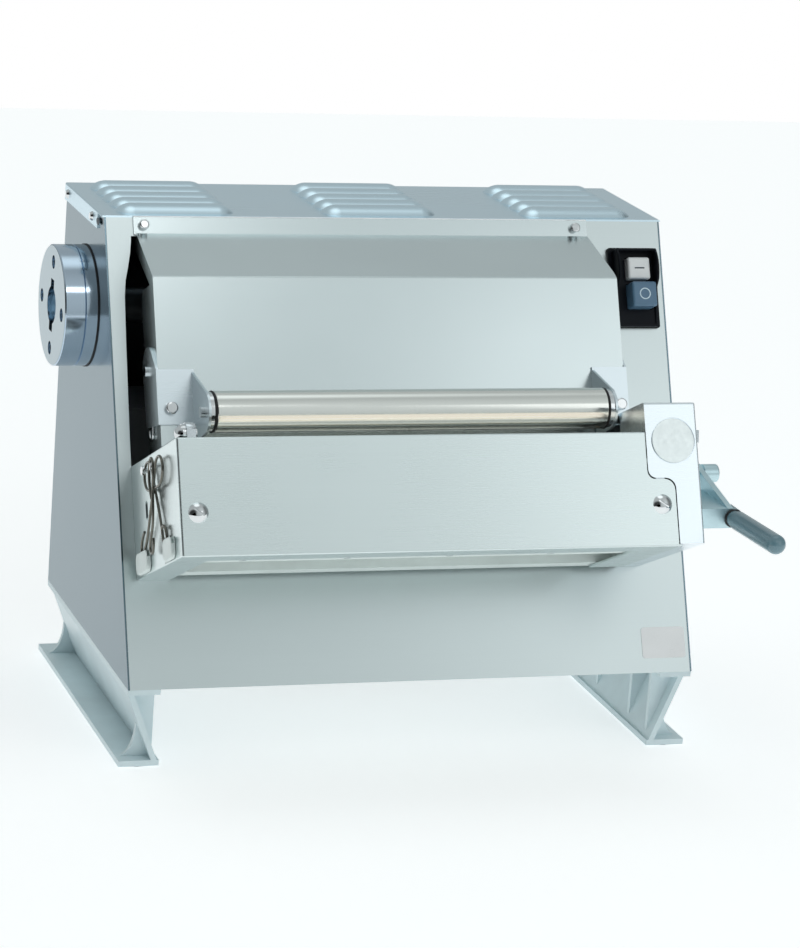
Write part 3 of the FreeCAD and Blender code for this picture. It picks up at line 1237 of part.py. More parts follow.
def build():
    save("front_panel", [front_panel()])
    save("left_side_panel", [left_side_panel()])
    save("right_side_panel", [right_side_panel()])
    save("rear_panel", [rear_panel()])
    save("bottom_plate", [bottom_plate()])
    save("top_cover", [top_cover()])
    save("cover_screws", cover_screws())
    save("foot_left", [foot(-1)])
    save("foot_right", [foot(1)])
    save("foot_pads", foot_pads())
    save("foot_bolts", foot_bolts())
    save("hub_disc", [hub_disc()])
    save("hub_ring", [hub_ring()])
    save("hub_gasket", [hub_gasket()])
    save("hub_screws", hub_screws())
    save("main_shaft", [main_shaft()])
    save("main_bearings", main_bearings())
    save("main_gear", [main_gear()])
    save("main_pulley", [main_pulley()])
    save("motor", [motor()])
    save("motor_pinion", [motor_pinion()])
    save("drive_plate", [drive_plate()])
    save("head_belt", [head_belt()])
    save("bearing_plate_left", [bearing_plate(LEFT_PLATE_X)])
    save("bearing_plate_right", [bearing_plate(RIGHT_PLATE_X)])
    save("tie_bars", tie_bars())
    save("ear_studs", ear_studs())
    save("drive_roller", [drive_roller()])
    save("drive_bushes", drive_bushes())
    save("head_pulley", [head_pulley()])
    save("drive_gear", [head_gear(DRIVE_N, 0.0)])
    save("press_roller", [press_roller()])
    save("press_gear", [head_gear(PRESS_N, 180.0 + 180.0 / HEAD_TEETH)])
    save("press_blocks", press_blocks())
    save("gap_shaft", [gap_shaft()])
    save("gap_cams", gap_cams())
    save("rear_scraper", [rear_scraper()])
    save("front_scraper", [front_scraper()])
    save("scraper_springs", scraper_springs())
    save("spring_hooks", spring_hooks())
    save("roller_guard", [guard()])
    save("guard_screws", guard_screws())
    save("gear_cover", [gear_cover()])
    save("lever_block", [lever_block()])
    save("lever_grip", [lever_grip()])
    save("index_plunger", [index_plunger()])
    save("index_sector", [index_sector()])
    save("infeed_hood", [infeed_hood()])
    save("hood_pins", hood_pins())
    save("idle_bracket_left", [idle_bracket(-1)])
    save("idle_bracket_right", [idle_bracket(1)])
    save("bracket_bolts", bracket_bolts())
    save("idle_axle", [idle_axle()])
    save("idle_washers", idle_washers())
    save("idle_roller", [idle_roller()])
    save("switch_body", [switch_body()])
    save("on_button", [button(ON_BAY, ON_PROUD)])
    save("off_button", [button(OFF_BAY, OFF_PROUD)])
    save("control_box", [control_box()])
    save("cable_gland", [cable_gland()])


build()
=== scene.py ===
import math

import bpy
import bmesh
from mathutils import Matrix, Vector


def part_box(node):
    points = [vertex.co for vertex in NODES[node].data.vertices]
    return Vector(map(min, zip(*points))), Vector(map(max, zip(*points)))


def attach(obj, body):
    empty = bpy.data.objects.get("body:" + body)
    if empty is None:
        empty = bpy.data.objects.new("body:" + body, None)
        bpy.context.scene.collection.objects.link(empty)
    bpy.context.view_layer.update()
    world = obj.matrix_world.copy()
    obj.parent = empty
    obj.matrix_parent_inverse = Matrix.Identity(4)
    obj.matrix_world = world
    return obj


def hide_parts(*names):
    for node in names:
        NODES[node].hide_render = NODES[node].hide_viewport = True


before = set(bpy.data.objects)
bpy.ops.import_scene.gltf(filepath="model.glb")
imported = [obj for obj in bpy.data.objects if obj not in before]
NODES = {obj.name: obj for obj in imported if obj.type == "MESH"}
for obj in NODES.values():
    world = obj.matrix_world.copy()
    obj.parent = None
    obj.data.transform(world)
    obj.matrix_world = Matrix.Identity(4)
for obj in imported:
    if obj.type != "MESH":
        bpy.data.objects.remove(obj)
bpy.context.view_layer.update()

MM = 0.001

# The front panel's own frame: n is out from the panel, s is down it, both in millimetres
TILT = math.radians(24.7)
SHIFT_X, SHIFT_Y, TOP_Z = 12.0, 93.5, 433.0
HUB_LOW, HUB_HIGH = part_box("hub_disc")
HUB_AXIS = ((HUB_LOW[1] + HUB_HIGH[1]) / 2, (HUB_LOW[2] + HUB_HIGH[2]) / 2)
# How far in from a sheet's outer face the painted shade on its inner side starts, in millimetres
SHEET_DEPTH = 1.4


def head(x, n, s):
    """A point of the roller head in the row frame, in metres."""
    y = -s * math.sin(TILT) - n * math.cos(TILT) + SHIFT_Y
    z = TOP_Z - s * math.cos(TILT) + n * math.sin(TILT)
    return Vector((x + SHIFT_X, y, z)) * MM


def ring_points(centre, radius, steps):
    """Points round a circle, as (across, up) pairs."""
    points = []
    for i in range(steps):
        a = 2 * math.pi * i / steps
        points.append((centre[0] + radius * math.cos(a), centre[1] + radius * math.sin(a)))
    return points


# Materials

class Graph:
    """A material's node tree with short helpers."""

    def __init__(self, name):
        self.material = bpy.data.materials.new(name)
        self.material.use_nodes = True
        self.tree = self.material.node_tree
        self.shader = self.tree.nodes["Principled BSDF"]

    def node(self, kind, **settings):
        made = self.tree.nodes.new(kind)
        for key, value in settings.items():
            setattr(made, key, value)
        return made

    def link(self, source, target):
        self.tree.links.new(source, target)

    def coords(self, scale, offset=(0, 0, 0)):
        source = self.node("ShaderNodeTexCoord")
        mapping = self.node("ShaderNodeMapping")
        mapping.inputs["Scale"].default_value = scale
        mapping.inputs["Location"].default_value = offset
        self.link(source.outputs["Object"], mapping.inputs["Vector"])
        return mapping.outputs["Vector"]

    def noise(self, vector, scale=1.0, detail=3.0, roughness=0.55):
        made = self.node("ShaderNodeTexNoise")
        made.inputs["Scale"].default_value = scale
        made.inputs["Detail"].default_value = detail
        made.inputs["Roughness"].default_value = roughness
        self.link(vector, made.inputs["Vector"])
        return made.outputs["Fac"]

    def spread(self, value, low, high, start=0.3, end=0.7):
        made = self.node("ShaderNodeMapRange")
        made.inputs["From Min"].default_value = start
        made.inputs["From Max"].default_value = end
        made.inputs["To Min"].default_value = low
        made.inputs["To Max"].default_value = high
        self.link(value, made.inputs["Value"])
        return made.outputs["Result"]

    def add(self, a, b, kind="ADD"):
        made = self.node("ShaderNodeMath", operation=kind)
        self.link(a, made.inputs[0])
        if isinstance(b, float):
            made.inputs[1].default_value = b
        else:
            self.link(b, made.inputs[1])
        return made.outputs[0]

    def ramp(self, value, stops):
        made = self.node("ShaderNodeValToRGB")
        elements = made.color_ramp.elements
        while len(elements) < len(stops):
            elements.new(0.5)
        for element, (place, colour) in zip(elements, stops):
            element.position = place
            element.color = (*colour, 1)
        self.link(value, made.inputs["Fac"])
        return made.outputs["Color"]

    def bump(self, value, strength, distance):
        made = self.node("ShaderNodeBump")
        made.inputs["Strength"].default_value = strength
        made.inputs["Distance"].default_value = distance
        self.link(value, made.inputs["Height"])
        self.link(made.outputs["Normal"], self.shader.inputs["Normal"])


def tinted(base, factor):
    return tuple(min(1.0, c * factor) for c in base)


def brushed(name, base, roughness, grain, bump=0.003, contrast=0.01):
    """Rolled sheet with fine grain lines along the axis that grain marks with 0, and faint clouding.
    Returns the graph, so that paint_inner_shade can add to it."""
    g = Graph(name)
    g.shader.inputs["Metallic"].default_value = 1.0
    fine_scale = tuple(2600.0 if across else 12.0 for across in grain)
    wide_scale = tuple(900.0 if across else 5.0 for across in grain)
    fine = g.noise(g.coords(fine_scale), 1.0, 2.0, 0.6)
    wide = g.noise(g.coords(wide_scale, (0.3, 0.7, 0.2)), 1.0, 2.0)
    cloud = g.noise(g.coords((7.0, 7.0, 7.0), (1.3, 0.2, 0.9)), 1.0, 3.0)
    lines = g.add(g.add(fine, 0.7, "MULTIPLY"), g.add(wide, 0.3, "MULTIPLY"))
    streaks = g.spread(lines, roughness - contrast, roughness + contrast)
    rough = g.add(streaks, g.spread(cloud, -0.015, 0.02))
    g.link(rough, g.shader.inputs["Roughness"])
    tone = g.add(g.add(lines, 0.5, "MULTIPLY"), g.add(cloud, 0.5, "MULTIPLY"))
    colour = g.ramp(tone, [(0.25, tinted(base, 0.975)), (0.75, tinted(base, 1.02))])
    g.link(colour, g.shader.inputs["Base Color"])
    g.bump(lines, bump, 0.0001)
    return g


# Near black painted on the sheets' inner faces: painted shade for the unlit inside of the casing
INSIDE_PAINTED_SHADE = (0.012, 0.013, 0.014, 1)


def paint_inner_shade(g, axis, place, outward):
    """Paints shade on a sheet's inner face, turning it near black as the unlit inside is. axis is the
    sheet's normal axis.
    """
    source = g.node("ShaderNodeTexCoord")
    split = g.node("ShaderNodeSeparateXYZ")
    g.link(source.outputs["Object"], split.inputs[0])
    inner = g.add(split.outputs[axis], place, "LESS_THAN" if outward > 0 else "GREATER_THAN")
    mix = g.node("ShaderNodeMix", data_type="RGBA")
    g.link(inner, mix.inputs["Factor"])
    g.link(g.shader.inputs["Base Color"].links[0].from_socket, mix.inputs["A"])
    mix.inputs["B"].default_value = INSIDE_PAINTED_SHADE
    g.link(mix.outputs["Result"], g.shader.inputs["Base Color"])
    return g.material


def turned(name, base, roughness, axis_yz, bump=0.10, radial=True, face=None, vary=0.05):
    """Lathe-turned metal: fine lines round an axis along X, and rings on its end faces if radial is set.
    face gives the X up to which an end face has its own tone, and that tone. vary is how far the
    roughness goes up and down from line to line."""
    g = Graph(name)
    g.shader.inputs["Metallic"].default_value = 1.0
    source = g.node("ShaderNodeTexCoord")
    centred = g.node("ShaderNodeVectorMath", operation="SUBTRACT")
    centred.inputs[1].default_value = (0, axis_yz[0], axis_yz[1])
    g.link(source.outputs["Object"], centred.inputs[0])
    across = g.node("ShaderNodeVectorMath", operation="MULTIPLY")
    across.inputs[1].default_value = (0, 1, 1)
    g.link(centred.outputs[0], across.inputs[0])
    distance = g.node("ShaderNodeVectorMath", operation="LENGTH")
    g.link(across.outputs[0], distance.inputs[0])
    along = g.node("ShaderNodeSeparateXYZ")
    g.link(centred.outputs[0], along.inputs[0])
    place = g.add(along.outputs["X"], distance.outputs["Value"]) if radial else along.outputs["X"]
    rings = g.node("ShaderNodeTexNoise", noise_dimensions="1D")
    rings.inputs["Scale"].default_value = 1800.0
    rings.inputs["Detail"].default_value = 3.0
    g.link(place, rings.inputs["W"])
    cloud = g.noise(g.coords((30.0, 30.0, 30.0)), 1.0, 3.0)
    grooves = g.spread(rings.outputs["Fac"], roughness - vary, roughness + vary)
    rough = g.add(grooves, g.spread(cloud, -0.02, 0.03))
    g.link(rough, g.shader.inputs["Roughness"])
    colour = g.ramp(rings.outputs["Fac"], [(0.2, tinted(base, 0.95)), (0.8, tinted(base, 1.04))])
    if face:
        at_face = g.add(along.outputs["X"], face[0], "LESS_THAN")
        mix = g.node("ShaderNodeMix", data_type="RGBA")
        g.link(at_face, mix.inputs["Factor"])
        g.link(colour, mix.inputs["A"])
        mix.inputs["B"].default_value = (*face[1], 1)
        colour = mix.outputs["Result"]
    g.link(colour, g.shader.inputs["Base Color"])
    g.bump(rings.outputs["Fac"], bump, 0.0001)
    return g.material


def plain_metal(name, base, roughness, grain_scale=700.0, bump=0.08):
    """Cast, ground or plated metal with an even grain."""
    g = Graph(name)
    g.shader.inputs["Metallic"].default_value = 1.0
    grain = g.noise(g.coords((grain_scale,) * 3), 1.0, 4.0)
    cloud = g.noise(g.coords((40.0,) * 3, (0.2, 0.5, 0.1)), 1.0, 3.0)
    g.link(g.add(g.spread(grain, roughness - 0.05, roughness + 0.05), g.spread(cloud, -0.03, 0.04)),
           g.shader.inputs["Roughness"])
    colour = g.ramp(cloud, [(0.3, tinted(base, 0.9)), (0.7, tinted(base, 1.06))])
    g.link(colour, g.shader.inputs["Base Color"])
    g.bump(grain, bump, 0.0001)
    return g.material


def moulded(name, base, roughness, grain_scale=1400.0, bump=0.15, coat=0.0, shine=0.5):
    """Moulded or painted surface with a fine even texture and faint unevenness of colour."""
    g = Graph(name)
    g.shader.inputs["Metallic"].default_value = 0.0
    g.shader.inputs["Specular IOR Level"].default_value = shine
    g.shader.inputs["Coat Weight"].default_value = coat
    g.shader.inputs["Coat Roughness"].default_value = 0.2
    grain = g.noise(g.coords((grain_scale,) * 3), 1.0, 4.0, 0.6)
    cloud = g.noise(g.coords((25.0,) * 3, (0.6, 0.1, 0.4)), 1.0, 4.0)
    g.link(g.add(g.spread(grain, roughness - 0.05, roughness + 0.06), g.spread(cloud, -0.03, 0.04)),
           g.shader.inputs["Roughness"])
    colour = g.ramp(cloud, [(0.3, tinted(base, 0.94)), (0.7, tinted(base, 1.05))])
    g.link(colour, g.shader.inputs["Base Color"])
    g.bump(grain, bump, 0.00015)
    return g.material


ALONG_X = (0, 1, 1)
ALONG_Y = (1, 0, 1)
# Side panel steel made much darker than the casing steel: painted shade, as the sides catch less light
SHADED_SIDE_STEEL = (0.15, 0.215, 0.25)
CASING_STEEL = (0.66, 0.73, 0.735)
LEFT_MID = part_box("left_side_panel")[0][0] + SHEET_DEPTH * MM
RIGHT_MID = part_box("right_side_panel")[1][0] - SHEET_DEPTH * MM
REAR_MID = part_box("rear_panel")[1][1] - SHEET_DEPTH * MM
MATERIALS = {
    "sheet": brushed("casing_sheet", CASING_STEEL, 0.30, ALONG_X).material,
    "left": paint_inner_shade(brushed("left_sheet", SHADED_SIDE_STEEL, 0.16, ALONG_Y, 0.002, 0.006),
                        "X", LEFT_MID, -1),
    "right": paint_inner_shade(brushed("right_sheet", SHADED_SIDE_STEEL, 0.16, ALONG_Y, 0.002, 0.006),
                         "X", RIGHT_MID, 1),
    "rear": paint_inner_shade(brushed("rear_sheet", CASING_STEEL, 0.30, ALONG_X), "Y", REAR_MID, 1),
    "top": brushed("cover_sheet", (0.67, 0.82, 0.90), 0.28, ALONG_X).material,
    "hood": brushed("hood_sheet", (0.69, 0.765, 0.775), 0.24, ALONG_X).material,
    "guard": brushed("guard_sheet", (0.75, 0.83, 0.83), 0.28, ALONG_X).material,
    "bright": brushed("bright_sheet", (0.88, 0.95, 1.0), 0.27, ALONG_X).material,
    "bracket": brushed("bracket_sheet", (0.76, 0.84, 0.88), 0.28, ALONG_X).material,
    "roller": turned("ground_roller", (0.84, 0.85, 0.81), 0.17, (0, 0), 0.002, False, None, 0.008),
    "plate": plain_metal("machined_plate", (0.66, 0.71, 0.74), 0.26),
    # Near-black steel on the parts inside the casing: painted shade for the unlit inside
    "inner": plain_metal("shaded_inner_steel", (0.07, 0.075, 0.08), 0.4),
    "hub": turned("turned_hub", (0.50, 0.60, 0.70), 0.12, HUB_AXIS, 0.02, True,
                  (HUB_LOW[0] + 0.3 * MM, (0.34, 0.42, 0.46)), 0.02),
    "zinc": plain_metal("bright_zinc", (0.78, 0.80, 0.81), 0.10),
    "spring": plain_metal("spring_wire", (0.16, 0.155, 0.135), 0.20),
    "paint": moulded("foot_paint", (0.70, 0.82, 0.85), 0.40, 900.0, 0.15, 0.2),
    # Dark grey steel for the gears and the drive parts inside
    "gear": plain_metal("dark_gear_steel", (0.20, 0.20, 0.20), 0.34),
    "motor": moulded("motor_casting", (0.05, 0.055, 0.06), 0.5),
    # Black rubber; the ring at the lever grip's root also wears it as painted shade
    "rubber_and_shade": moulded("black_rubber", (0.018, 0.018, 0.020), 0.55, 1800.0, 0.3),
    "black": moulded("black_plastic", (0.006, 0.008, 0.012), 0.34, 1400.0, 0.05, 0.0, 0.12),
    "white": moulded("white_key", (0.95, 1.0, 1.0), 0.30, 1600.0, 0.03, 0.2),
    "blue": moulded("stop_key", (0.11, 0.21, 0.32), 0.30, 1400.0, 0.06),
    "grey": moulded("grey_plastic", (0.30, 0.32, 0.34), 0.45),
    "scraper": moulded("scraper_plastic", (0.80, 0.88, 0.86), 0.40, 500.0, 0.05),
    "grip": moulded("grip_plastic", (0.15, 0.27, 0.32), 0.24, 1500.0, 0.05, 0.6),
    "bronze": plain_metal("bronze", (0.55, 0.38, 0.20), 0.35),
    "casting": plain_metal("lever_casting", (0.60, 0.78, 0.83), 0.34, 500.0, 0.05),
    # Dark print for the start key's bar; the cover's bend relief also wears it as painted shade
    "mark": moulded("print_and_shade_mark", (0.05, 0.07, 0.09), 0.5, 1600.0, 0.03),
    "pale_mark": moulded("pale_mark", (0.70, 0.84, 0.92), 0.4, 1600.0, 0.03),
    "disc": plain_metal("pressed_disc", (0.86, 0.92, 0.92), 0.34, 300.0, 0.03),
    # Bright metal for the beads that paint highlights on the hood strip's folds
    "highlight_edge": plain_metal("highlight_edge", (0.95, 0.98, 1.0), 0.22),
    "label": moulded("blank_label", (1.0, 1.0, 1.0), 0.30, 1600.0, 0.03, 0.3),
}
WEARS = {
    "sheet": ["front_panel", "bottom_plate"],
    "rear": ["rear_panel"],
    "left": ["left_side_panel"],
    "right": ["right_side_panel"],
    "top": ["top_cover"],
    "hood": ["infeed_hood"],
    "guard": ["roller_guard"],
    "bright": ["gear_cover"],
    "bracket": ["idle_bracket_left", "idle_bracket_right"],
    "zinc": ["idle_washers", "cover_screws", "hub_screws", "hood_pins", "bracket_bolts",
             "guard_screws", "foot_bolts", "spring_hooks", "ear_studs", "idle_axle"],
    "roller": ["drive_roller", "press_roller", "idle_roller"],
    "spring": ["scraper_springs"],
    "plate": ["bearing_plate_left", "bearing_plate_right", "index_sector", "press_blocks"],
    "inner": ["drive_plate", "tie_bars", "main_pulley", "head_pulley", "main_shaft"],
    "hub": ["hub_disc", "hub_ring"],
    "paint": ["foot_left", "foot_right"],
    "gear": ["main_gear", "motor_pinion", "drive_gear", "press_gear", "gap_shaft", "gap_cams",
             "main_bearings"],
    "motor": ["motor"],
    "rubber_and_shade": ["foot_pads", "hub_gasket", "head_belt"],
    "black": ["switch_body"],
    "white": ["on_button"],
    "blue": ["off_button"],
    "grey": ["control_box", "cable_gland"],
    "scraper": ["rear_scraper", "front_scraper"],
    "grip": ["lever_grip"],
    "bronze": ["drive_bushes"],
    "casting": ["lever_block", "index_plunger"],
}
for key, names in WEARS.items():
    for name in names:
        mesh = NODES[name].data
        mesh.materials.clear()
        mesh.materials.append(MATERIALS[key])


# Rounded edges on the thick machined pieces

EDGE_WIDTH = 0.5
EDGE_ANGLE = math.radians(35)
WELD_DISTANCE = 0.00001


def soften(target):
    weld = target.modifiers.new("weld", "WELD")
    weld.merge_threshold = WELD_DISTANCE
    bevel = target.modifiers.new("bevel", "BEVEL")
    bevel.width = EDGE_WIDTH * MM
    bevel.segments = 2
    bevel.limit_method = "ANGLE"
    bevel.angle_limit = EDGE_ANGLE
    bevel.harden_normals = True
    bevel.use_clamp_overlap = True


for name in ("lever_block", "bearing_plate_left", "bearing_plate_right"):
    soften(NODES[name])


# Added pieces

def piece(name, mesh, material, body):
    """Puts a finished mesh into the scene as a piece that rides on a body."""
    made = bpy.data.objects.new(name, mesh)
    bpy.context.scene.collection.objects.link(made)
    mesh.materials.append(MATERIALS[material])
    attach(made, body)
    return made


def smooth(mesh):
    for face in mesh.polygons:
        face.use_smooth = True


def tube(name, routes, radius, sides=12, closed=False):
    """One mesh of round wires, each along its own list of points."""
    curve = bpy.data.curves.new(name + "_route", "CURVE")
    curve.dimensions = "3D"
    curve.bevel_depth = radius
    curve.bevel_resolution = sides // 4
    curve.resolution_u = 8
    curve.use_fill_caps = True
    for route in routes:
        spline = curve.splines.new("NURBS")
        spline.points.add(len(route) - 1)
        for point, place in zip(spline.points, route):
            point.co = (*place, 1)
        spline.order_u = 4
        spline.use_endpoint_u = not closed
        spline.use_cyclic_u = closed
    holder = bpy.data.objects.new(name + "_route", curve)
    mesh = bpy.data.meshes.new_from_object(holder)
    bpy.data.objects.remove(holder)
    mesh.name = name
    smooth(mesh)
    return mesh


RIM_ANGLE = 1.2


def plate_mesh(name, outline, place, thickness, bevel):
    """A thin plate with rounded rims.
    outline holds (across, down) points, and place turns those and a height into a point."""
    mesh = bpy.data.meshes.new(name)
    made = bmesh.new()
    low = [made.verts.new(place(a, b, 0.0)) for a, b in outline]
    base = made.faces.new(low)
    top = bmesh.ops.extrude_face_region(made, geom=[base])
    up = place(0.0, 0.0, thickness) - place(0.0, 0.0, 0.0)
    for vert in [v for v in top["geom"] if isinstance(v, bmesh.types.BMVert)]:
        vert.co += up
    bmesh.ops.recalc_face_normals(made, faces=made.faces[:])
    if bevel:
        rims = [e for e in made.edges if len(e.link_faces) == 2 and e.calc_face_angle(0) > RIM_ANGLE]
        bmesh.ops.bevel(made, geom=rims, offset=bevel, segments=2, affect="EDGES", profile=0.6)
    made.to_mesh(mesh)
    made.free()
    return mesh


def rounded_box(x, s, radius, steps=6):
    """Outline of a rectangle with round corners, in millimetres."""
    points = []
    corners = ((x[1] - radius, s[1] - radius, 0), (x[0] + radius, s[1] - radius, 90),
               (x[0] + radius, s[0] + radius, 180), (x[1] - radius, s[0] + radius, 270))
    for cx, cs, start in corners:
        for i in range(steps + 1):
            a = math.radians(start + 90 * i / steps)
            points.append((cx + radius * math.cos(a), cs + radius * math.sin(a)))
    return points


def on_head(n):
    """Placing function for plates that lie parallel to the front panel at height n."""
    return lambda x, s, up: head(x, n + up / MM, s)


WIRE_X = -240.2
WIRE_R = 1.15
# Each wire's points (how far it stands off to the left, n, s): from the crossing, round its loop
# and down to its hook
FRONT_WIRE = [
    (0, 84, 247), (0, 76, 242), (0, 66, 243.5), (0, 55, 240), (0, 50, 230), (0, 56, 221),
    (0, 65, 218.5), (0, 75, 221), (0, 79, 230), (-0.1, 81, 240), (-0.2, 87, 252), (0, 92, 262),
    (0, 97, 273), (0.3, 101, 282), (0.4, 103, 291), (0.2, 109, 294), (0, 114, 290),
    (0.4, 113, 281), (0.8, 108, 275), (1.2, 103, 279),
]
REAR_WIRE = [
    (1.9, 82, 247), (1.9, 92, 243.5), (2.0, 103, 245.5), (2.0, 115, 241), (2.0, 120.5, 231),
    (2.0, 115, 222), (2.0, 105, 220), (2.0, 96, 224), (2.0, 92, 234), (2.0, 86, 243),
    (1.9, 79, 253), (1.7, 71, 262), (1.4, 62, 274), (0.9, 52, 283), (0.4, 42, 288),
    (0.2, 34, 292.5), (0.3, 30, 286), (0.6, 37, 277), (1.0, 47, 274),
]
MIDDLE_WIRE = [
    (3.4, 84, 252), (3.5, 80, 244), (3.5, 79, 232), (3.5, 84, 221), (3.5, 90, 218.5),
    (3.5, 95, 224), (3.5, 94, 234), (3.4, 89, 245), (3.3, 87, 258), (3.1, 84, 270),
    (2.8, 78, 278), (2.4, 70, 284), (2.2, 66, 291), (2.2, 72, 297), (2.3, 79, 292),
    (2.5, 80, 283),
]


def wire_forms():
    """The scraper springs: each wire loops above, crosses the others and ends in a hook below."""
    routes = []
    for wire in (FRONT_WIRE, REAR_WIRE, MIDDLE_WIRE):
        routes.append([head(WIRE_X - off, n, s) for off, n, s in wire])
    mesh = tube("spring_wires", routes, WIRE_R * MM)
    made = piece("spring_wires", mesh, "spring", "base")
    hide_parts("scraper_springs")


START_FACE_N = 14.0
STOP_FACE_N = 21.0
BAR_X = (218.4, 227.4)
BAR_S = (45.4, 46.5)
RING_CENTRE = (223.7, 70.1)
RING_RADII = (4.1, 5.1)
RING_STEPS = 48


def switch_marks():
    """A bar on the start key and a ring on the stop key."""
    bar = plate_mesh("start_mark", rounded_box(BAR_X, BAR_S, 0.3, 2), on_head(START_FACE_N), 0.00012, 0)
    piece("start_mark", bar, "mark", "start_key")
    inner, outer = (ring_points(RING_CENTRE, radius, RING_STEPS) for radius in RING_RADII)
    points = []
    for near, far in zip(inner, outer):
        for n in (STOP_FACE_N + 0.12, STOP_FACE_N - 0.1):
            for x, s in (near, far):
                points.append(head(x, n, s))
    faces = []
    for i in range(RING_STEPS):
        a, b = 4 * i, 4 * ((i + 1) % RING_STEPS)
        faces += [(a, a + 1, b + 1, b), (a, b, b + 2, a + 2), (a + 1, a + 3, b + 3, b + 1)]
    mesh = bpy.data.meshes.new("stop_mark")
    mesh.from_pydata(points, [], faces)
    mesh.update()
    piece("stop_mark", mesh, "pale_mark", "stop_key")


LABEL_X = (205.5, 245.5)
LABEL_S = (359.0, 386.0)


def front_label():
    """Blank label low on the front panel."""
    outline = rounded_box(LABEL_X, LABEL_S, 3.0)
    mesh = plate_mesh("front_label", outline, on_head(0.05), 0.0004, 0.0001)
    piece("front_label", mesh, "label", "base")


PRESS_AXIS = (93.0, 245.0)
PRESS_RING_R = 30.35
PRESS_RING_X = (153.5, 157.5)


def roller_rings():
    """Two black rings round the press roller, beside the gear cover."""
    routes = []
    for x in PRESS_RING_X:
        routes.append([head(x, n, s) for n, s in ring_points(PRESS_AXIS, PRESS_RING_R, 24)])
    mesh = tube("roller_rings", routes, 0.5 * MM, 8, True)
    piece("roller_rings", mesh, "rubber_and_shade", "press_roll")


CLIP_X = -224.6
CLIP_ROUTE = [(28, 180), (28, 190), (27, 194), (20, 194), (17, 191), (17, 186)]


def hood_clip():
    """Small sprung clip on the hood's left cheek."""
    route = [head(CLIP_X, n, s) for n, s in CLIP_ROUTE]
    piece("hood_clip", tube("hood_clip", [route], 0.8 * MM), "zinc", "base")


RELIEF_CENTRE = (107.0, 425.0)
RELIEF_HALF = (5.0, 3.0)


def corner_relief_shade():
    """A dark plate on the cover's lip, behind its front left corner: painted shade for the open bend
    relief there.
    """
    lip_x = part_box("top_cover")[0].x
    outline = []
    for across, up in ring_points((0.0, 0.0), 1.0, 20):
        outline.append((RELIEF_CENTRE[0] + RELIEF_HALF[0] * across,
                        RELIEF_CENTRE[1] + RELIEF_HALF[1] * up))
    place = lambda y, z, out: Vector((lip_x - out, y * MM, z * MM))
    mesh = plate_mesh("corner_relief_shade", outline, place, 0.0002, 0)
    piece("corner_relief_shade", mesh, "mark", "base")


SCREW_X = (-176.0, -88.0, 0.0, 88.0)
SCREW_N = 104.0
SCREW_FACE_S = 306.0
SCREW_HALF = 3.0


def scraper_marks():
    """Screws along the front scraper's lower face."""
    place = lambda across, n, down: head(across, n, SCREW_FACE_S + down / MM)
    wide = (SCREW_N - SCREW_HALF, SCREW_N + SCREW_HALF)
    for i, x in enumerate(SCREW_X):
        outline = rounded_box((x - SCREW_HALF, x + SCREW_HALF), wide, 2.9, 5)
        mesh = plate_mesh("scraper_screw_%d" % i, outline, place, 0.0003, 0.0001)
        piece("scraper_screw_%d" % i, mesh, "zinc", "gap_carriage")


IDLE_AXIS = (81.0, 181.0)
SEAL_R = 16.6
SEAL_WIRE_R = 1.05
SEAL_GAP = 1.1


def idle_seals():
    """Black rings round the washers, close against the idle roller's ends."""
    axis = head(0, *IDLE_AXIS)
    low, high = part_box("idle_roller")
    routes = []
    for x in (low.x - SEAL_GAP * MM, high.x + SEAL_GAP * MM):
        routes.append([(x, y, z) for y, z in ring_points((axis.y, axis.z), SEAL_R * MM, 24)])
    mesh = tube("idle_seals", routes, SEAL_WIRE_R * MM, 8, True)
    piece("idle_seals", mesh, "rubber_and_shade", "base")


DISC_CENTRE = (185.2, 220.2)
DISC_R = 18.6
DISC_N = 148.95


def cover_disc():
    """Blank round plate pressed into the gear cover's face."""
    outline = ring_points(DISC_CENTRE, DISC_R, 64)
    mesh = plate_mesh("cover_disc", outline, on_head(DISC_N), 0.0006, 0.00025)
    piece("cover_disc", mesh, "disc", "base")


END_PLATE_R = 14.6
END_PLATE_DEPTH = 12.0
SLOT_FLOOR_DEPTH = 7.9
SLOT_FLOOR_OFFSET = 18.6
SLOT_FLOOR_HALF = (5.5, 3.6)


def in_hub(depth):
    """Placing function for plates that face out of the hub, their backs this many mm inside its face."""
    return lambda y, z, out: Vector((HUB_LOW[0] + depth * MM - out, y * MM, z * MM))


def hub_inside():
    """The shaft's light end plate, and dark plates that darken the foot of the two drive slots."""
    y, z = HUB_AXIS[0] / MM, HUB_AXIS[1] / MM
    outline = ring_points((y, z), END_PLATE_R, 48)
    mesh = plate_mesh("shaft_end_plate", outline, in_hub(END_PLATE_DEPTH), 0.002, 0.0004)
    piece("shaft_end_plate", mesh, "casting", "main_line")
    for i, side in enumerate((-1, 1)):
        centre = z + side * SLOT_FLOOR_OFFSET
        across = (y - SLOT_FLOOR_HALF[0], y + SLOT_FLOOR_HALF[0])
        up = (centre - SLOT_FLOOR_HALF[1], centre + SLOT_FLOOR_HALF[1])
        outline = rounded_box(across, up, 1.5, 4)
        mesh = plate_mesh("slot_floor_dark_%d" % i, outline, in_hub(SLOT_FLOOR_DEPTH), 0.0015, 0.0003)
        piece("slot_floor_dark_%d" % i, mesh, "rubber_and_shade", "base")


STRIP_STOPS = (-225.0, -90.0, 45.0, 180.6)
STRIP_EDGES = ((1.55, 16.3), (1.3, 1.1))


def fold_lines():
    """Thin bright beads along the hood's top strip: painted highlights on its folded edges."""
    routes = []
    for n, s in STRIP_EDGES:
        routes.append([head(x, n, s) for x in STRIP_STOPS])
    piece("strip_highlights", tube("strip_highlights", routes, 0.55 * MM), "highlight_edge", "base")


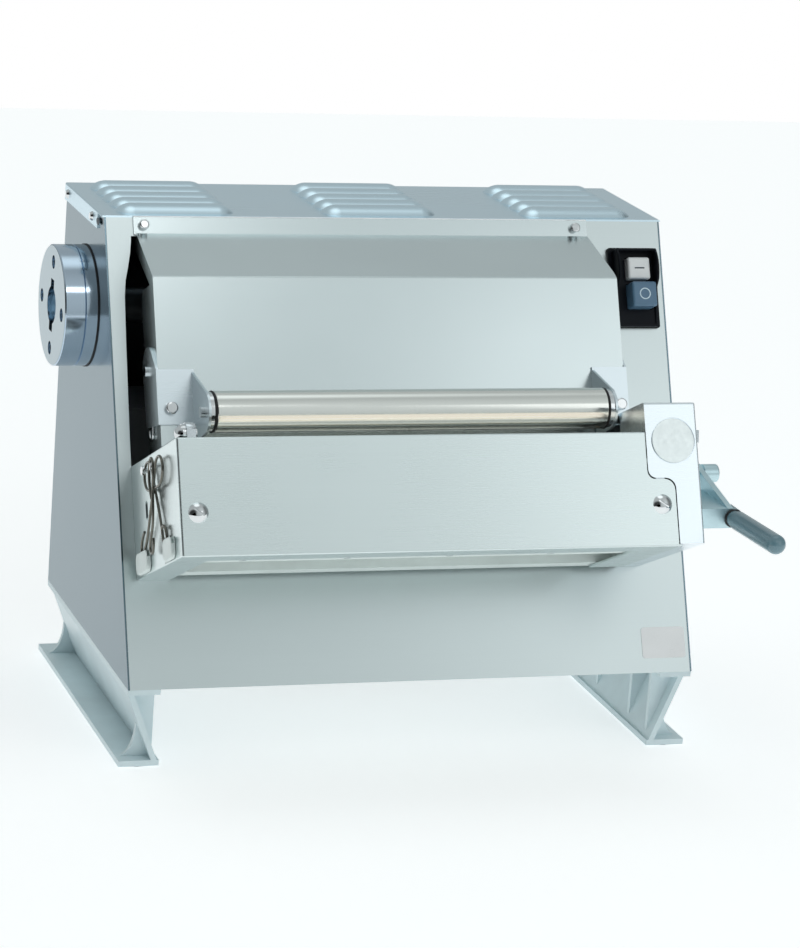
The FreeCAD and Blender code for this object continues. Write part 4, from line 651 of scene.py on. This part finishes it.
ROOT_SHADE_R = 6.9
ROOT_SHADE_WIRE_R = 1.3
ROOT_SHADE_GAP = 1.2


def grip_root_shade():
    """Black ring round the grip's root, against the lever's casting: painted shade for the gap there."""
    low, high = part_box("lever_grip")
    shaft_low, shaft_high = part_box("gap_shaft")
    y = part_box("lever_block")[0].y - ROOT_SHADE_GAP * MM
    centre = ((low.x + high.x) / 2, (shaft_low.z + shaft_high.z) / 2)
    route = [(x, y, z) for x, z in ring_points(centre, ROOT_SHADE_R * MM, 24)]
    mesh = tube("grip_root_shade", [route], ROOT_SHADE_WIRE_R * MM, 8, True)
    piece("grip_root_shade", mesh, "rubber_and_shade", "gap_lever")


wire_forms()
idle_seals()
cover_disc()
hub_inside()
fold_lines()
grip_root_shade()
corner_relief_shade()
switch_marks()
front_label()
roller_rings()
hood_clip()
scraper_marks()


# Stage

FLOOR_HALF = 3.0
FLOOR_GLOW = 0.44


def floor():
    """A matt white floor that glows a little, to come near the white behind the object."""
    mesh = bpy.data.meshes.new("floor")
    half = FLOOR_HALF
    corners = [(-half, -half, 0), (half, -half, 0), (half, half, 0), (-half, half, 0)]
    mesh.from_pydata(corners, [], [(0, 1, 2, 3)])
    made = bpy.data.objects.new("floor", mesh)
    bpy.context.scene.collection.objects.link(made)
    g = Graph("pale_floor")
    g.shader.inputs["Base Color"].default_value = (1.0, 1.0, 1.0, 1)
    g.shader.inputs["Roughness"].default_value = 0.7
    g.shader.inputs["Specular IOR Level"].default_value = 0.0
    g.shader.inputs["Emission Color"].default_value = (1, 1, 1, 1)
    g.shader.inputs["Emission Strength"].default_value = FLOOR_GLOW
    mesh.materials.append(g.material)


def softbox(name, place, aim, size, power):
    """A rectangular lamp that the camera doesn't see directly, though reflections can show it."""
    data = bpy.data.lights.new(name, "AREA")
    data.shape = "RECTANGLE"
    data.size, data.size_y = size
    data.energy = power
    lamp = bpy.data.objects.new(name, data)
    lamp.location = place
    lamp.rotation_mode = "QUATERNION"
    lamp.rotation_quaternion = (Vector(aim) - Vector(place)).to_track_quat("-Z", "Y")
    lamp.visible_camera = False
    bpy.context.scene.collection.objects.link(lamp)
    return lamp


ROOM_TONE = (0.93, 1.0, 1.01)
ROOM_LEVEL = 0.50
# Each glow is a direction, the angles in degrees at which it ends and is full, and what it adds
ROOM_GLOWS = [
    ((0.0, 0.22, 1.0), 24, 8, 0.80),
    ((0.55, -0.70, 0.45), 50, 8, 0.16),
    ((-0.8, -0.6, 0.22), 42, 22, -0.46),
    ((-0.5, -0.85, -0.05), 26, 8, -0.10),
    ((0.95, 0.1, 0.25), 40, 20, -0.30),
]


def surroundings():
    """A pale room with soft bright and dark areas; the camera sees plain white behind the object."""
    world = bpy.data.worlds.new("studio")
    world.use_nodes = True
    tree = world.node_tree
    source = tree.nodes.new("ShaderNodeTexCoord")
    level = tree.nodes.new("ShaderNodeValue").outputs[0]
    level.default_value = ROOM_LEVEL
    for direction, outer, inner, amount in ROOM_GLOWS:
        dot = tree.nodes.new("ShaderNodeVectorMath")
        dot.operation = "DOT_PRODUCT"
        dot.inputs[1].default_value = Vector(direction).normalized()
        tree.links.new(source.outputs["Generated"], dot.inputs[0])
        shape = tree.nodes.new("ShaderNodeMapRange")
        shape.interpolation_type = "SMOOTHSTEP"
        shape.inputs["From Min"].default_value = math.cos(math.radians(outer))
        shape.inputs["From Max"].default_value = math.cos(math.radians(inner))
        shape.inputs["To Max"].default_value = amount
        tree.links.new(dot.outputs["Value"], shape.inputs["Value"])
        total = tree.nodes.new("ShaderNodeMath")
        tree.links.new(level, total.inputs[0])
        tree.links.new(shape.outputs["Result"], total.inputs[1])
        level = total.outputs[0]
    tone = tree.nodes.new("ShaderNodeVectorMath")
    tone.operation = "MULTIPLY"
    tone.inputs[1].default_value = ROOM_TONE
    tree.links.new(level, tone.inputs[0])
    room = tree.nodes["Background"]
    tree.links.new(tone.outputs[0], room.inputs["Color"])
    plain = tree.nodes.new("ShaderNodeBackground")
    plain.inputs["Color"].default_value = (1, 1, 1, 1)
    path = tree.nodes.new("ShaderNodeLightPath")
    mix = tree.nodes.new("ShaderNodeMixShader")
    tree.links.new(path.outputs["Is Camera Ray"], mix.inputs[0])
    tree.links.new(room.outputs[0], mix.inputs[1])
    tree.links.new(plain.outputs[0], mix.inputs[2])
    tree.links.new(mix.outputs[0], tree.nodes["World Output"].inputs["Surface"])
    bpy.context.scene.world = world


CAMERA_PLACE = (-0.9528, -2.7807, 1.0383)
CAMERA_TURN = (19.06, 15.34, 4.35)
SENSOR_WIDTH = 36.0
LENS = 136.63291


def camera():
    """The camera. CAMERA_TURN holds its yaw, its pitch down and its roll, in degrees."""
    data = bpy.data.cameras.new("camera")
    data.sensor_width = SENSOR_WIDTH
    data.lens = LENS
    data.clip_end = 50.0
    made = bpy.data.objects.new("camera", data)
    bpy.context.scene.collection.objects.link(made)
    yaw, pitch, roll = (math.radians(a) for a in CAMERA_TURN)
    level = math.cos(pitch)
    forward = Vector((math.sin(yaw) * level, math.cos(yaw) * level, -math.sin(pitch)))
    right = Vector((math.cos(yaw), -math.sin(yaw), 0))
    up = right.cross(forward)
    tilted_right = right * math.cos(roll) + up * math.sin(roll)
    tilted_up = up * math.cos(roll) - right * math.sin(roll)
    turn = Matrix((tilted_right, tilted_up, -forward)).transposed()
    made.matrix_world = Matrix.Translation(CAMERA_PLACE) @ turn.to_4x4()
    bpy.context.scene.camera = made


floor()
surroundings()
softbox("key_light", (0.15, -1.5, 1.80), (-0.23, 0.09, 0.42), (0.30, 0.34), 1.0)
softbox("right_light", (1.05, -1.5, 1.15), (0.15, 0, 0.25), (0.7, 0.8), 1.0)

# Stands for the light that the guard throws back on to the idle roller
bounce = softbox("roller_bounce", head(-6.0, 126.0, 222.0), head(-6.0, 81.0, 184.0), (0.34, 0.030), 0.030)
bounce.data.color = (1.0, 0.93, 0.82)
camera()
bpy.context.scene.view_settings.view_transform = "Standard"
